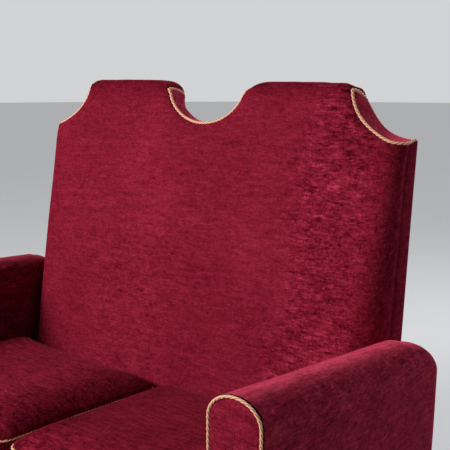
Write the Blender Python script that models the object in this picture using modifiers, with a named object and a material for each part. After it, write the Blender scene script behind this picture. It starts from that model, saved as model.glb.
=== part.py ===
"""Two-seat upholstered settee with a shaped back, padded arms and two loose seat cushions.

Metres, +Z up, floor at z = 0.  The front of the settee faces -Y and the width runs along X.
"""

import math

import bmesh
import bpy
from mathutils import Vector

# ---------------------------------------------------------------- driving dimensions
TOP_Z = 1.220            # flat tops of the two humps of the back
BACK_HALF_W = 0.5885     # half width of the back
FACE_Y = 0.326           # front edge plane of the back at TOP_Z
FACE_SLOPE = 0.190       # rake of the front plane (tangent)
REAR_Y = 0.390           # rear plane of the back at TOP_Z
REAR_SLOPE = 0.103       # rake of the rear plane (tangent)
PAD_EDGE = 0.045         # distance over which the padding rolls off to the edge
SWELL_TOP_Z = 1.050      # the padding swells from here down to the seat
# sizes that grow downwards: (size at SWELL_TOP_Z, growth by the seat line, power of the growth)
FACE_PAD = (0.018, 0.012, 1.6)     # bulge of the padding in front of the front plane
SIDE_WRAP = (0.031, 0.042, 1.0)
SIDE_ROLL = (0.040, 0.060, 2.0)
SEAT_LINE_Z = 0.420      # below this the back face drops straight down behind the cushions
COVER_BOTTOM_Z = 0.305

DIP_HALF_W = 0.130       # centre dip, half an ellipse
DIP_DEPTH = 0.111
SHOULDER_RUN = 0.1465    # corner scallops, a quarter of an ellipse each
SHOULDER_DROP = 0.127
HUMP_IN = 0.190          # flat top of a hump from here ...
HUMP_OUT = 0.412         # ... to here
CORNER_DIP_DROP = 0.050  # where the rounded hump corners meet the ellipses
INNER_CORNER = (0.136, -0.004)   # point that the inner hump corner is drawn towards
CORNER_OUT_DROP = 0.026

CLOTH = 0.0020           # thickness of every cover
CORD_R = 0.0030
CORD_SEAT = 0.0035       # covers stop this far below the cord line
GAP = 0.0004             # clearance between neighbouring pieces
BOARD_T = 0.019          # thickness of the back frame

ARM_IN_X = 0.592
ARM_OUT_X = 0.710
ARM_ROUND = 0.045        # height of the rounded arm top
ARM_TOP_REAR_Z = 0.682
ARM_TOP_FRONT_Z = 0.716
ARM_FRONT_Y = -0.3790
ARM_REAR_Y = 0.297
ARM_REAR_SET_IN = 0.034      # the arms end this far in front of the rear plane of the back
ARM_REAR_ROLL = 0.085
ARM_REAR_DROP = 0.050
ARM_CORNER_ROLL = 0.035
ARM_INNER_BOTTOM_Z = 0.310
ARM_PAD_T = 0.012
ARM_PAD_REAR_Y = 0.180
FRONT_Y = -0.390

SKIRT_Z = 0.172          # bottom edge of the covers
RAIL_Z = 0.1765
RAIL_T = 0.025
RAIL_TOP_Z = 0.282
RAIL_HALF_L = 0.690
DECK_REAR_Z = 0.292      # seat deck at DECK_REAR_Y
DECK_REAR_Y = 0.150
DECK_SLOPE = 0.035

CUSHION_X = 0.2955       # centre of each cushion
CUSHION_HALF_W = 0.2935  # including the cords
CUSHION_FRONT_Y = -0.385
CUSHION_REAR_Y = 0.140
CUSHION_SIDE = 0.122     # height of the boxing band
CUSHION_CROWN = 0.040
CUSHION_BELLY = 0.006
CUSHION_CORNER = 0.045
ZIP_LEN = 0.400
ZIP_H = 0.012
SLIDER_LEN = 0.012

LEG_X = 0.655
LEG_FRONT_Y = -0.328
LEG_TOP_Z = 0.1760
GLIDE_H = 0.004
GLIDE_R = 0.011

MATERIALS = {
    # name: (base colour, roughness, metallic)
    "velvet": ((0.240, 0.012, 0.030), 0.85, 0.0),
    "velvet_band": ((0.200, 0.010, 0.026), 0.85, 0.0),
    "gold_cord": ((0.720, 0.420, 0.190), 0.60, 0.0),
    "beech": ((0.560, 0.370, 0.200), 0.60, 0.0),
    "plywood": ((0.620, 0.450, 0.270), 0.65, 0.0),
    "mahogany": ((0.075, 0.022, 0.012), 0.30, 0.0),
    "foam": ((0.800, 0.740, 0.560), 0.95, 0.0),
    "wadding": ((0.780, 0.760, 0.700), 0.95, 0.0),
    "deck_cotton": ((0.110, 0.012, 0.022), 0.90, 0.0),
    "black_cambric": ((0.020, 0.020, 0.022), 0.90, 0.0),
    "zip_tape": ((0.130, 0.010, 0.020), 0.70, 0.0),
    "zip_brass": ((0.620, 0.430, 0.160), 0.35, 1.0),
    "nylon_glide": ((0.050, 0.045, 0.040), 0.50, 0.0),
}


# ---------------------------------------------------------------- scene and materials
def clear_scene():
    for obj in list(bpy.data.objects):
        bpy.data.objects.remove(obj, do_unlink=True)


def make_material(name):
    colour, roughness, metallic = MATERIALS[name]
    mat = bpy.data.materials.new(name)
    mat.use_nodes = True
    shader = mat.node_tree.nodes["Principled BSDF"]
    shader.inputs["Base Color"].default_value = (*colour, 1.0)
    shader.inputs["Roughness"].default_value = roughness
    shader.inputs["Metallic"].default_value = metallic
    mat.diffuse_color = (*colour, 1.0)
    return mat


clear_scene()
materials = {name: make_material(name) for name in MATERIALS}
parts = bpy.data.collections.new("settee")
bpy.context.scene.collection.children.link(parts)
guides = bpy.data.collections.new("guides")
bpy.context.scene.collection.children.link(guides)


# ---------------------------------------------------------------- building blocks
def add_object(name, bm, material, origin=(0, 0, 0), smooth=False):
    """Turn a bmesh into a named part."""
    bmesh.ops.recalc_face_normals(bm, faces=bm.faces)
    mesh = bpy.data.meshes.new(name)
    bm.to_mesh(mesh)
    bm.free()
    for polygon in mesh.polygons:
        polygon.use_smooth = smooth
    mesh.materials.append(materials[material])
    obj = bpy.data.objects.new(name, mesh)
    obj.location = origin
    parts.objects.link(obj)
    return obj


def add_box(name, low, high, material, bevel=0.0015):
    """A rectangular piece between two corners."""
    centre = [(a + b) / 2 for a, b in zip(low, high)]
    size = [b - a for a, b in zip(low, high)]
    bm = bmesh.new()
    bmesh.ops.create_cube(bm, size=1.0)
    bmesh.ops.scale(bm, vec=size, verts=bm.verts)
    obj = add_object(name, bm, material, centre)
    if bevel:
        add_bevel(obj, bevel)
    return obj


def add_bevel(obj, width, segments=1):
    bevel = obj.modifiers.new("eased edges", "BEVEL")
    bevel.width = width
    bevel.segments = segments
    bevel.limit_method = "ANGLE"
    bevel.harden_normals = False


def add_loft(name, rings, material, origin=(0, 0, 0), smooth=False):
    """A solid skinned over closed rings of equal length, with flat end caps."""
    bm = bmesh.new()
    loops = [[bm.verts.new(p) for p in ring] for ring in rings]
    for lower, upper in zip(loops, loops[1:]):
        count = len(lower)
        for i in range(count):
            j = (i + 1) % count
            bm.faces.new((lower[i], lower[j], upper[j], upper[i]))
    bm.faces.new(loops[0][::-1])
    bm.faces.new(loops[-1])
    return add_object(name, bm, material, origin, smooth)


def grid_faces(bm, rows):
    """Faces over rows of vertices; None marks a missing vertex."""
    for upper, lower in zip(rows, rows[1:]):
        for i in range(len(upper) - 1):
            corners = (upper[i], upper[i + 1], lower[i + 1], lower[i])
            if None not in corners:
                bm.faces.new(corners)


def add_sheet(name, rows, material, inside, thickness=CLOTH):
    """A cloth panel: an open surface thickened towards the point `inside`."""
    bm = bmesh.new()
    grid_faces(bm, [[None if p is None else bm.verts.new(p) for p in row] for row in rows])
    bmesh.ops.delete(bm, geom=[v for v in bm.verts if not v.link_faces], context="VERTS")
    bmesh.ops.remove_doubles(bm, verts=bm.verts, dist=0.00005)
    bmesh.ops.recalc_face_normals(bm, faces=bm.faces)
    core = Vector(inside)
    facing = sum(f.calc_area() * f.normal.dot((f.calc_center_median() - core).normalized()) for f in bm.faces)
    if facing < 0:
        bmesh.ops.reverse_faces(bm, faces=bm.faces)
    mesh = bpy.data.meshes.new(name)
    bm.to_mesh(mesh)
    bm.free()
    mesh.materials.append(materials[material])
    for polygon in mesh.polygons:
        polygon.use_smooth = True
    obj = bpy.data.objects.new(name, mesh)
    parts.objects.link(obj)
    solid = obj.modifiers.new("cloth thickness", "SOLIDIFY")
    solid.thickness = thickness
    solid.offset = -1.0
    solid.use_even_offset = True
    return obj


def add_slab(name, front, back, material):
    """A solid between two matching grids of points."""
    bm = bmesh.new()
    fronts = [[bm.verts.new(p) for p in row] for row in front]
    backs = [[bm.verts.new(p) for p in row] for row in back]
    grid_faces(bm, fronts)
    grid_faces(bm, [row[::-1] for row in backs])

    def border(rows):
        right = [row[-1] for row in rows[1:-1]]
        left = [row[0] for row in rows[1:-1]]
        return rows[0] + right + rows[-1][::-1] + left[::-1]

    edge_a = border(fronts)
    edge_b = border(backs)
    for i, vert in enumerate(edge_a):
        j = (i + 1) % len(edge_a)
        bm.faces.new((vert, edge_b[i], edge_b[j], edge_a[j]))
    return add_object(name, bm, material)


def add_cord(name, path, origin=(0, 0, 0), closed=True, material="gold_cord"):
    """A round cord along a path of points."""
    curve = bpy.data.curves.new(name, "CURVE")
    curve.dimensions = "3D"
    curve.bevel_depth = CORD_R
    curve.bevel_resolution = 1
    curve.render_resolution_u = 0
    curve.use_fill_caps = not closed
    spline = curve.splines.new("POLY")
    spline.points.add(len(path) - 1)
    for point, position in zip(spline.points, path):
        point.co = (*position, 1.0)
    spline.use_cyclic_u = closed
    curve.materials.append(materials[material])
    obj = bpy.data.objects.new(name, curve)
    obj.location = origin
    parts.objects.link(obj)
    return obj


def add_turning(name, profile, origin, material, steps=16):
    """A turned piece: a profile of (radius, height) from top to bottom, spun round Z."""
    mesh = bpy.data.meshes.new(name)
    points = [(radius, 0.0, height) for radius, height in profile]
    edges = [(i, i + 1) for i in range(len(points) - 1)]
    mesh.from_pydata(points, edges, [])
    mesh.materials.append(materials[material])
    obj = bpy.data.objects.new(name, mesh)
    obj.location = origin
    parts.objects.link(obj)
    screw = obj.modifiers.new("turning", "SCREW")
    screw.steps = steps
    screw.render_steps = steps
    screw.use_merge_vertices = True
    screw.merge_threshold = 0.00005
    screw.use_smooth_shade = True
    return obj


# ---------------------------------------------------------------- shape of the back
def face_plane_y(z):
    return FACE_Y - (TOP_Z - z) * FACE_SLOPE


def rear_plane_y(z):
    return REAR_Y - (TOP_Z - z) * REAR_SLOPE


def bezier(start, control, end, t):
    return tuple(
        (1 - t) ** 2 * a + 2 * t * (1 - t) * b + t * t * c
        for a, b, c in zip(start, control, end)
    )


def half_outline():
    """Right half of the top edge as (x, z), from the middle of the dip to the shoulder."""
    points = []
    dip_end = math.acos(CORNER_DIP_DROP / DIP_DEPTH)
    for i in range(7):
        angle = dip_end * i / 6
        points.append((DIP_HALF_W * math.sin(angle), -DIP_DEPTH * math.cos(angle)))
    inner = points[-1]
    for t in (0.25, 0.42, 0.56, 0.78, 1.0):
        points.append(bezier(inner, INNER_CORNER, (HUMP_IN, 0.0), t))
    points.append(((HUMP_IN + HUMP_OUT) / 2, 0.0))
    points.append((HUMP_OUT, 0.0))
    turn = math.acos(CORNER_OUT_DROP / SHOULDER_DROP)
    wall_x = BACK_HALF_W - SHOULDER_RUN
    outer = (BACK_HALF_W - SHOULDER_RUN * math.sin(turn), -CORNER_OUT_DROP)
    for t in (0.45, 0.70, 0.86):
        points.append(bezier((HUMP_OUT, 0.0), (wall_x, 0.0), outer, t))
    for i in range(9):
        angle = turn * (1 - i / 8) ** 1.5
        x = BACK_HALF_W - SHOULDER_RUN * math.sin(angle)
        points.append((x, -SHOULDER_DROP * math.cos(angle)))
    return [(x, TOP_Z + z) for x, z in points]


HALF = half_outline()
OUTLINE = [(-x, z) for x, z in HALF[:0:-1]] + HALF
MIDDLE = len(HALF) - 1      # index of the centre point in OUTLINE
BAND_IN = 8                 # half-outline index where the centre band stops
HUMP_FIRST = 9              # half-outline indices of the hump top
HUMP_LAST = 14
BAND_OUT = 15               # half-outline index where a corner band starts


def inset_outline(distance, points=None):
    """The outline moved into the back along its own normal."""
    points = points or OUTLINE
    moved = []
    for i, (x, z) in enumerate(points):
        before = points[max(i - 1, 0)]
        after = points[min(i + 1, len(points) - 1)]
        along = Vector((after[0] - before[0], after[1] - before[1])).normalized()
        if i in (0, len(points) - 1):
            along = Vector((1.0, 0.0))
        moved.append((x + along.y * distance, z - along.x * distance))
    return moved


def distance_to_outline(x, z):
    """Shortest distance from a point of the back to its top edge."""
    best = 10.0
    here = Vector((x, z))
    for a, b in zip(OUTLINE, OUTLINE[1:]):
        start = Vector(a)
        run = Vector(b) - start
        t = max(0.0, min(1.0, (here - start).dot(run) / run.length_squared))
        best = min(best, (here - start - run * t).length)
    return best


def roll(ratio):
    """Quarter-round easing from 0 at an edge to 1 inside it."""
    ratio = max(0.0, min(1.0, ratio))
    return math.sqrt(1 - (1 - ratio) ** 2)


def swell(sizes, z):
    """A size that grows from the shoulders down to the seat line."""
    share = (SWELL_TOP_Z - max(z, SEAT_LINE_Z)) / (SWELL_TOP_Z - SEAT_LINE_Z)
    start, growth, power = sizes
    return start + growth * max(0.0, share) ** power


def side_set_back(x, z):
    """How far the front edge turns back near the sides."""
    return swell(SIDE_WRAP, z) * (1 - roll((BACK_HALF_W - abs(x)) / swell(SIDE_ROLL, z)))


def face_y(x, z):
    """Front surface of the back cover."""
    plane = face_plane_y(max(z, SEAT_LINE_Z))
    from_top = roll(distance_to_outline(x, z) / PAD_EDGE)
    from_side = 0.6 * roll((BACK_HALF_W - abs(x)) / PAD_EDGE) + 0.4 * (1 - (x / BACK_HALF_W) ** 2)
    return plane - swell(FACE_PAD, z) * from_top * from_side + side_set_back(x, z)


def outline_plate(name, inset, bottom_z, front_offset, rear_offset, material):
    """A board or cloth with the outline of the back, parallel to the rear plane."""
    top = inset_outline(inset)
    reach = BACK_HALF_W - inset
    top = [(max(-reach, min(reach, x)), z) for x, z in top]
    loop = top + [(top[-1][0], bottom_z), (top[0][0], bottom_z)]
    rings = []
    for offset in (front_offset, rear_offset):
        rings.append([(x, rear_plane_y(z) - offset, z) for x, z in loop])
    return add_loft(name, rings, material)


def raked_board(name, x_low, x_high, z_low, z_high, material):
    """A board of the back frame, lying in the rake of the rear plane."""
    rings = []
    for x in (x_low, x_high):
        ring = []
        for z, offset in (
            (z_low, BOARD_FRONT),
            (z_low, BOARD_REAR),
            (z_high, BOARD_REAR),
            (z_high, BOARD_FRONT),
        ):
            ring.append((x, rear_plane_y(z) - offset, z))
        rings.append(ring)
    obj = add_loft(name, rings, material)
    add_bevel(obj, 0.0015)
    return obj


BOARD_REAR = CLOTH + 2 * GAP
BOARD_FRONT = BOARD_REAR + BOARD_T
BOARD_BOTTOM_Z = 1.030
POST_IN_X = 0.530
POST_OUT_X = 0.575
POST_FOOT_Z = (0.184, 0.285, 0.322)   # bottom, end of the thick foot, start of the raked part

# ---------------------------------------------------------------- seat frame and legs
RAIL_REAR_Y = 0.240
RAIL_FRONT_Y = -0.3600
FRONT_RAIL_TOP_Z = 0.292
SIDE_RAIL_IN_X = 0.655
CENTRE_RAIL_HALF = 0.0125

add_box(
    "front_rail",
    (-RAIL_HALF_L, RAIL_FRONT_Y, RAIL_Z),
    (RAIL_HALF_L, RAIL_FRONT_Y + RAIL_T, FRONT_RAIL_TOP_Z),
    "beech",
)
add_box(
    "back_rail",
    (-RAIL_HALF_L, RAIL_REAR_Y - RAIL_T, RAIL_Z),
    (RAIL_HALF_L, RAIL_REAR_Y, RAIL_TOP_Z),
    "beech",
)
RAIL_SPAN_Y = (RAIL_FRONT_Y + RAIL_T + GAP, RAIL_REAR_Y - RAIL_T - GAP)
add_box(
    "centre_rail",
    (-CENTRE_RAIL_HALF, RAIL_SPAN_Y[0], RAIL_Z + 0.03),
    (CENTRE_RAIL_HALF, RAIL_SPAN_Y[1], 0.2705),
    "beech",
)
for side, sign in (("left", -1), ("right", 1)):
    xs = sorted((sign * SIDE_RAIL_IN_X, sign * (SIDE_RAIL_IN_X + RAIL_T)))
    add_box(
        f"side_rail_{side}",
        (xs[0], RAIL_SPAN_Y[0], RAIL_Z),
        (xs[1], RAIL_SPAN_Y[1], RAIL_TOP_Z),
        "beech",
    )

FRONT_LEG_PROFILE = [
    (0.0, LEG_TOP_Z),
    (0.0270, LEG_TOP_Z),
    (0.0270, 0.150),
    (0.0215, 0.146),
    (0.0205, 0.140),
    (0.0255, 0.134),
    (0.0255, 0.128),
    (0.0200, 0.122),
    (0.0235, 0.105),
    (0.0225, 0.080),
    (0.0165, 0.040),
    (0.0135, 0.022),
    (0.0170, 0.016),
    (0.0170, GLIDE_H + GAP + 0.003),
    (0.0150, GLIDE_H + GAP),
    (0.0, GLIDE_H + GAP),
]
BACK_LEG_TOP = (0.193, 0.237)
BACK_LEG_FOOT = (0.272, 0.300)
BACK_LEG_HALF = (0.022, 0.014)


def add_glide(name, x, y):
    bm = bmesh.new()
    bmesh.ops.create_cone(
        bm, cap_ends=True, segments=12, radius1=GLIDE_R, radius2=GLIDE_R, depth=GLIDE_H
    )
    return add_object(name, bm, "nylon_glide", (x, y, GLIDE_H / 2), smooth=False)


for side, sign in (("left", -1), ("right", 1)):
    add_turning(
        f"leg_front_{side}", FRONT_LEG_PROFILE, (sign * LEG_X, LEG_FRONT_Y, 0), "mahogany"
    )
    add_glide(f"glide_front_{side}", sign * LEG_X, LEG_FRONT_Y)
    rings = []
    for z, (y_front, y_back), half in (
        (GLIDE_H + GAP, BACK_LEG_FOOT, BACK_LEG_HALF[1]),
        (LEG_TOP_Z, BACK_LEG_TOP, BACK_LEG_HALF[0]),
    ):
        x = sign * LEG_X
        rings.append(
            [(x - half, y_front, z), (x + half, y_front, z), (x + half, y_back, z), (x - half, y_back, z)]
        )
    leg = add_loft(f"leg_back_{side}", rings, "mahogany")
    add_bevel(leg, 0.0015)
    add_glide(f"glide_back_{side}", sign * LEG_X, sum(BACK_LEG_FOOT) / 2)


# ---------------------------------------------------------------- back frame
def back_post(name, sign):
    """A back post: bolted behind the seat rail at its thick foot, raked above it."""
    foot_y = RAIL_REAR_Y + GAP
    side = [
        (foot_y, POST_FOOT_Z[0]),
        (rear_plane_y(POST_FOOT_Z[0]) - BOARD_REAR, POST_FOOT_Z[0]),
        (rear_plane_y(BOARD_BOTTOM_Z) - BOARD_REAR, BOARD_BOTTOM_Z - GAP),
        (rear_plane_y(BOARD_BOTTOM_Z) - BOARD_FRONT, BOARD_BOTTOM_Z - GAP),
        (rear_plane_y(POST_FOOT_Z[2]) - BOARD_FRONT, POST_FOOT_Z[2]),
        (foot_y, POST_FOOT_Z[1]),
    ]
    rings = [[(sign * x, y, z) for y, z in side] for x in (POST_IN_X, POST_OUT_X)]
    add_bevel(add_loft(name, rings, "beech"), 0.0015)


for side, sign in (("left", -1), ("right", 1)):
    back_post(f"back_post_{side}", sign)
LOWER_RAIL_Z = (0.440, 0.500)
raked_board(
    "back_lower_rail", -POST_IN_X + GAP, POST_IN_X - GAP, LOWER_RAIL_Z[0], LOWER_RAIL_Z[1], "beech"
)
raked_board(
    "back_centre_post", -0.0225, 0.0225, LOWER_RAIL_Z[1] + GAP, BOARD_BOTTOM_Z - GAP, "beech"
)
outline_plate("back_top_board", 0.0105, BOARD_BOTTOM_Z, BOARD_FRONT, BOARD_REAR, "plywood")


# ---------------------------------------------------------------- back padding and covers
COVER_SHARES = (0.0, 0.013, 0.038, 0.085, 0.22, 0.45, 0.65, 0.82, 1.0)   # from the top to the seat line
PAD_INSET = 0.0110
PAD_BOTTOM_Z = 0.330
PAD_BEHIND = 0.0034      # from the cover surface to the padding under it


def cover_rows():
    """Rows of points over the front cover, from the fold over the humps to the hem."""
    top = inset_outline(CORD_SEAT)
    columns = []
    for i, (x, z) in enumerate(top):
        x = max(-BACK_HALF_W, min(BACK_HALF_W, x))
        k = abs(i - MIDDLE)
        on_hump = HUMP_FIRST <= k <= HUMP_LAST
        column = []
        if on_hump:
            crest = OUTLINE[i][1]
            plane = face_plane_y(crest)
            column.append((x, rear_plane_y(crest) - CLOTH - 2 * GAP, crest))
            column.append((x, plane + 0.014, crest))
            column.append((x, plane + 0.005, crest - 0.0020))
            z = crest - 0.0070
        else:
            column.extend([None, None, None])
        for share in COVER_SHARES:
            level = z + (SEAT_LINE_Z - z) * share
            column.append((x, face_y(x, level), level))
        column.append((x, face_y(x, COVER_BOTTOM_Z), COVER_BOTTOM_Z))
        columns.append(column)
    return [list(row) for row in zip(*columns)]


add_sheet("back_cover_front", cover_rows(), "velvet", (0, 3.0, 0.5))


def pad_grids():
    """Front and rear surfaces of the padding between the frame and the front cover."""
    top = inset_outline(PAD_INSET)
    reach = BACK_HALF_W - PAD_INSET
    picks = sorted(set(list(range(0, len(top), 2)) + [MIDDLE, len(top) - 1]))
    front = []
    back = []
    for share in (0.0, 0.03, 0.09, 0.25, 0.45, 0.65, 0.82, 1.0, None):
        front_row = []
        back_row = []
        for i in picks:
            x, z_top = top[i]
            x = max(-reach, min(reach, x))
            if share is None:
                z = PAD_BOTTOM_Z
                share_top = 1.0
            else:
                z = z_top + (SEAT_LINE_Z - z_top) * share
                share_top = share
            outer_z = z + PAD_INSET * (1 - share_top)
            skin = face_y(x * BACK_HALF_W / reach, outer_z) + PAD_BEHIND
            front_row.append((x, skin, z))
            back_row.append((x, rear_plane_y(z) - BOARD_FRONT - 2 * GAP, z))
        front.append(front_row)
        back.append(back_row)
    return front, back


add_slab("back_pad", *pad_grids(), "wadding")
outline_plate("back_cover_rear", CORD_SEAT, 0.180, CLOTH, 0.0, "velvet")


def band_rows(indices):
    """A strip of cloth along part of the outline, from the front cord to the rear cord."""
    top = inset_outline(CORD_SEAT)
    front = []
    rear = []
    for i in indices:
        x, z = top[i]
        x = max(-BACK_HALF_W + CORD_SEAT, min(BACK_HALF_W - CORD_SEAT, x))
        front.append((x, face_plane_y(z) + side_set_back(OUTLINE[i][0], z) + CLOTH + 0.0022, z))
        rear.append((x, rear_plane_y(z) - CLOTH - 2 * GAP, z))
    return [front, rear]


def cord_path(indices, at_inner_end, at_outer_end):
    """A loop: along the front edge, back over the top, along the rear edge, forward again."""
    ride = CORD_R + GAP
    front = []
    rear = []
    for i in indices:
        x, z = OUTLINE[i]
        x = max(-BACK_HALF_W + CORD_R, min(BACK_HALF_W - CORD_R, x))
        front.append((x, face_plane_y(z) + side_set_back(x, z) + 0.002, z))
        rear.append((x, rear_plane_y(z) - ride, z))
    loop = list(front)
    loop.extend(crossing(*at_outer_end))
    loop.extend(rear[::-1])
    loop.extend(crossing(*at_inner_end)[::-1])
    return loop


def crossing(x, z):
    """Points of a cord passing over the top of the back from front to rear."""
    front = face_plane_y(z)
    rear = rear_plane_y(z) - CORD_R - GAP
    return [(x, front + 0.007, z), (x, rear - 0.005, z)]


CROSS_IN = (0.1433, TOP_Z - 0.0143)
CROSS_OUT = (0.4380, TOP_Z - 0.0082)
SHOULDER_Z = TOP_Z - SHOULDER_DROP
centre = range(MIDDLE - BAND_IN, MIDDLE + BAND_IN + 1)
add_sheet("scallop_band_centre", band_rows(centre), "velvet_band", (0, 0.35, -3.0))
add_cord(
    "scallop_cord_centre",
    cord_path(centre, (-CROSS_IN[0], CROSS_IN[1]), CROSS_IN),
)


def shoulder_turn(sign):
    """The cord turning back along the top of the side."""
    x = sign * (BACK_HALF_W - CORD_R)
    front = face_plane_y(SHOULDER_Z) + SIDE_WRAP[0]
    rear = rear_plane_y(SHOULDER_Z) - CORD_R - GAP
    return [(x, front + (rear - front) * t, SHOULDER_Z) for t in (0.3, 0.7)]


for side, sign in (("left", -1), ("right", 1)):
    indices = [MIDDLE + sign * k for k in range(BAND_OUT, len(HALF))]
    add_sheet(f"scallop_band_{side}", band_rows(indices), "velvet_band", (0, 0.35, -3.0))
    path = cord_path(indices, (sign * CROSS_OUT[0], CROSS_OUT[1]), (0, 0))
    keep = len(indices)
    path = path[:keep] + shoulder_turn(sign) + path[keep + 2:]
    add_cord(f"scallop_cord_{side}", path)

    outer = sign * BACK_HALF_W
    inner = sign * (BACK_HALF_W - CLOTH)
    rings = []
    band_top = SHOULDER_Z - CORD_SEAT
    levels = [band_top + (SEAT_LINE_Z - band_top) * share for share in COVER_SHARES[:0:-1]]
    for z in [0.290] + levels + [SHOULDER_Z - CORD_R - 3 * GAP]:
        front = face_plane_y(max(z, SEAT_LINE_Z)) + swell(SIDE_WRAP, z) + CLOTH + 0.001
        rear = rear_plane_y(z) - CLOTH - 2 * GAP
        rings.append([(outer, front, z), (outer, rear, z), (inner, rear, z), (inner, front, z)])
    add_loft(f"back_side_band_{side}", rings, "velvet_band")


# ---------------------------------------------------------------- arms
def arm_top_z(y):
    share = (y - ARM_FRONT_Y) / (ARM_REAR_Y - ARM_FRONT_Y)
    return ARM_TOP_FRONT_Z + (ARM_TOP_REAR_Z - ARM_TOP_FRONT_Z) * share


def arm_rear_y(z):
    """The rear end of the arms leans with the back."""
    return rear_plane_y(z) - ARM_REAR_SET_IN


def arm_section(y, inset, inner_z, outer_z, sign, lower=0.0, steps=8):
    """Open arm profile (x, z) from the inner hem over the top to the outer hem."""
    centre_x = (ARM_IN_X + ARM_OUT_X) / 2
    half = (ARM_OUT_X - ARM_IN_X) / 2 - inset
    crest = arm_top_z(y) - inset - lower
    spring = crest - (ARM_ROUND - inset * 0.5)
    section = [(sign * (centre_x - half), inner_z)]
    for i in range(steps + 1):
        angle = math.pi * i / steps
        x = centre_x - half * math.cos(angle)
        section.append((sign * x, spring + (crest - spring) * math.sin(angle)))
    section.append((sign * (centre_x + half), outer_z))
    return section


def arm_cover_rows(sign):
    """Rings of the arm cover from the open front end to the rounded, raked rear end."""
    rows = []
    for y in (ARM_FRONT_Y + CLOTH, -0.22, -0.05, 0.10):
        rows.append([(x, y, z) for x, z in arm_section(y, 0.0, ARM_INNER_BOTTOM_Z, SKIRT_Z, sign)])
    centre_x = sign * (ARM_IN_X + ARM_OUT_X) / 2
    for angle in (0, 25, 48, 66, 78, 90):
        turn = math.radians(angle)
        short = ARM_REAR_ROLL * (1 - math.sin(turn))
        narrow = 1 - 0.5 * (1 - roll(short / ARM_CORNER_ROLL))
        drop = ARM_REAR_DROP * (1 - math.cos(turn))
        hem = SKIRT_Z if angle > 70 else ARM_INNER_BOTTOM_Z
        row = []
        for x, z in arm_section(ARM_REAR_Y, 0.0, hem, SKIRT_Z, sign, lower=drop):
            row.append((centre_x + (x - centre_x) * narrow, arm_rear_y(z) - short, z))
        rows.append(row)
    last = rows[-1]
    rows.append([(centre_x, y, z) for x, y, z in last])
    return rows


def arm_pad_ring(y, sign):
    """Section of the arm padding; the last one leans with the rear plane."""
    level_y = ARM_REAR_Y if y == ARM_PAD_REAR_Y else y
    outer = arm_section(level_y, CLOTH + 4 * GAP, 0.314, 0.300, sign)
    inner = arm_section(level_y, CLOTH + 4 * GAP + ARM_PAD_T, 0.314, 0.300, sign, lower=0.022)
    ring = outer + inner[::-1]
    if y < ARM_PAD_REAR_Y:
        return [(x, y, z) for x, z in ring]
    return [(x, arm_rear_y(z) - ARM_REAR_ROLL - 0.004, z) for x, z in ring]


ARM_WOOD_X = (0.628, 0.674)
ARM_RAIL_DROP = (0.088, 0.062)     # bottom and top of the arm rail below the arm top


def sloped_rail(name, sign):
    rings = []
    for y in (RAIL_FRONT_Y, 0.190):
        low = arm_top_z(y) - ARM_RAIL_DROP[0]
        high = arm_top_z(y) - ARM_RAIL_DROP[1]
        a, b = (sign * x for x in ARM_WOOD_X)
        rings.append([(a, y, low), (b, y, low), (b, y, high), (a, y, high)])
    obj = add_loft(name, rings, "beech")
    add_bevel(obj, 0.0015)


for side, sign in (("left", -1), ("right", 1)):
    xs = sorted(sign * x for x in ARM_WOOD_X)
    front_top = arm_top_z(RAIL_FRONT_Y + 0.045) - ARM_RAIL_DROP[0] - GAP
    rear_top = arm_top_z(0.190) - ARM_RAIL_DROP[0] - GAP
    add_box(
        f"arm_post_front_{side}",
        (xs[0], RAIL_FRONT_Y, FRONT_RAIL_TOP_Z + GAP),
        (xs[1], RAIL_FRONT_Y + 0.045, front_top),
        "beech",
    )
    add_box(
        f"arm_post_back_{side}",
        (xs[0], 0.150, RAIL_TOP_Z + GAP),
        (xs[1], 0.190, rear_top),
        "beech",
    )
    sloped_rail(f"arm_rail_{side}", sign)
    add_loft(
        f"arm_pad_{side}",
        [arm_pad_ring(y, sign) for y in (-0.3755, -0.15, 0.06, 0.12, ARM_PAD_REAR_Y)],
        "wadding",
    )
    add_sheet(
        f"arm_cover_{side}",
        arm_cover_rows(sign),
        "velvet",
        (sign * (ARM_IN_X + ARM_OUT_X) / 2, 0.0, 0.45),
    )

    panel = arm_section(ARM_FRONT_Y, 0.0035, SKIRT_Z + 0.001, SKIRT_Z + 0.001, sign)
    rings = [[(x, y, z) for x, z in panel] for y in (ARM_FRONT_Y - 2 * CLOTH, ARM_FRONT_Y)]
    add_loft(f"arm_panel_{side}", rings, "velvet")
    cord_y = FRONT_Y + CORD_R
    hem = SKIRT_Z + 0.004
    trim = [(x, cord_y, z) for x, z in arm_section(ARM_FRONT_Y, 0.0035, hem, hem, sign, steps=12)]
    add_cord(f"arm_panel_cord_{side}", trim, closed=False)


# ---------------------------------------------------------------- seat deck and border
def deck_z(y):
    return DECK_REAR_Z + (DECK_REAR_Y - y) * DECK_SLOPE


DECK_FRONT_Y = -0.3610
BOARD_PLY = 0.012


def sloped_plate(name, x_low, x_high, y_low, y_high, drop, thickness, material):
    """A flat plate parallel to the seat deck, `drop` below it."""
    rings = []
    for y in (y_low, y_high):
        high = deck_z(y) - drop
        low = high - thickness
        rings.append([(x_low, y, low), (x_high, y, low), (x_high, y, high), (x_low, y, high)])
    return add_loft(name, rings, material)


sloped_plate("deck_cloth", -0.588, 0.588, DECK_FRONT_Y, DECK_REAR_Y, 0.0, 0.0015, "deck_cotton")
for side, sign in (("left", -1), ("right", 1)):
    xs = sorted((sign * 0.001, sign * 0.586))
    sloped_plate(
        f"seat_board_{side}", xs[0], xs[1], RAIL_SPAN_Y[0], DECK_REAR_Y - 0.004,
        0.0015 + GAP, BOARD_PLY, "plywood",
    )

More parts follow.
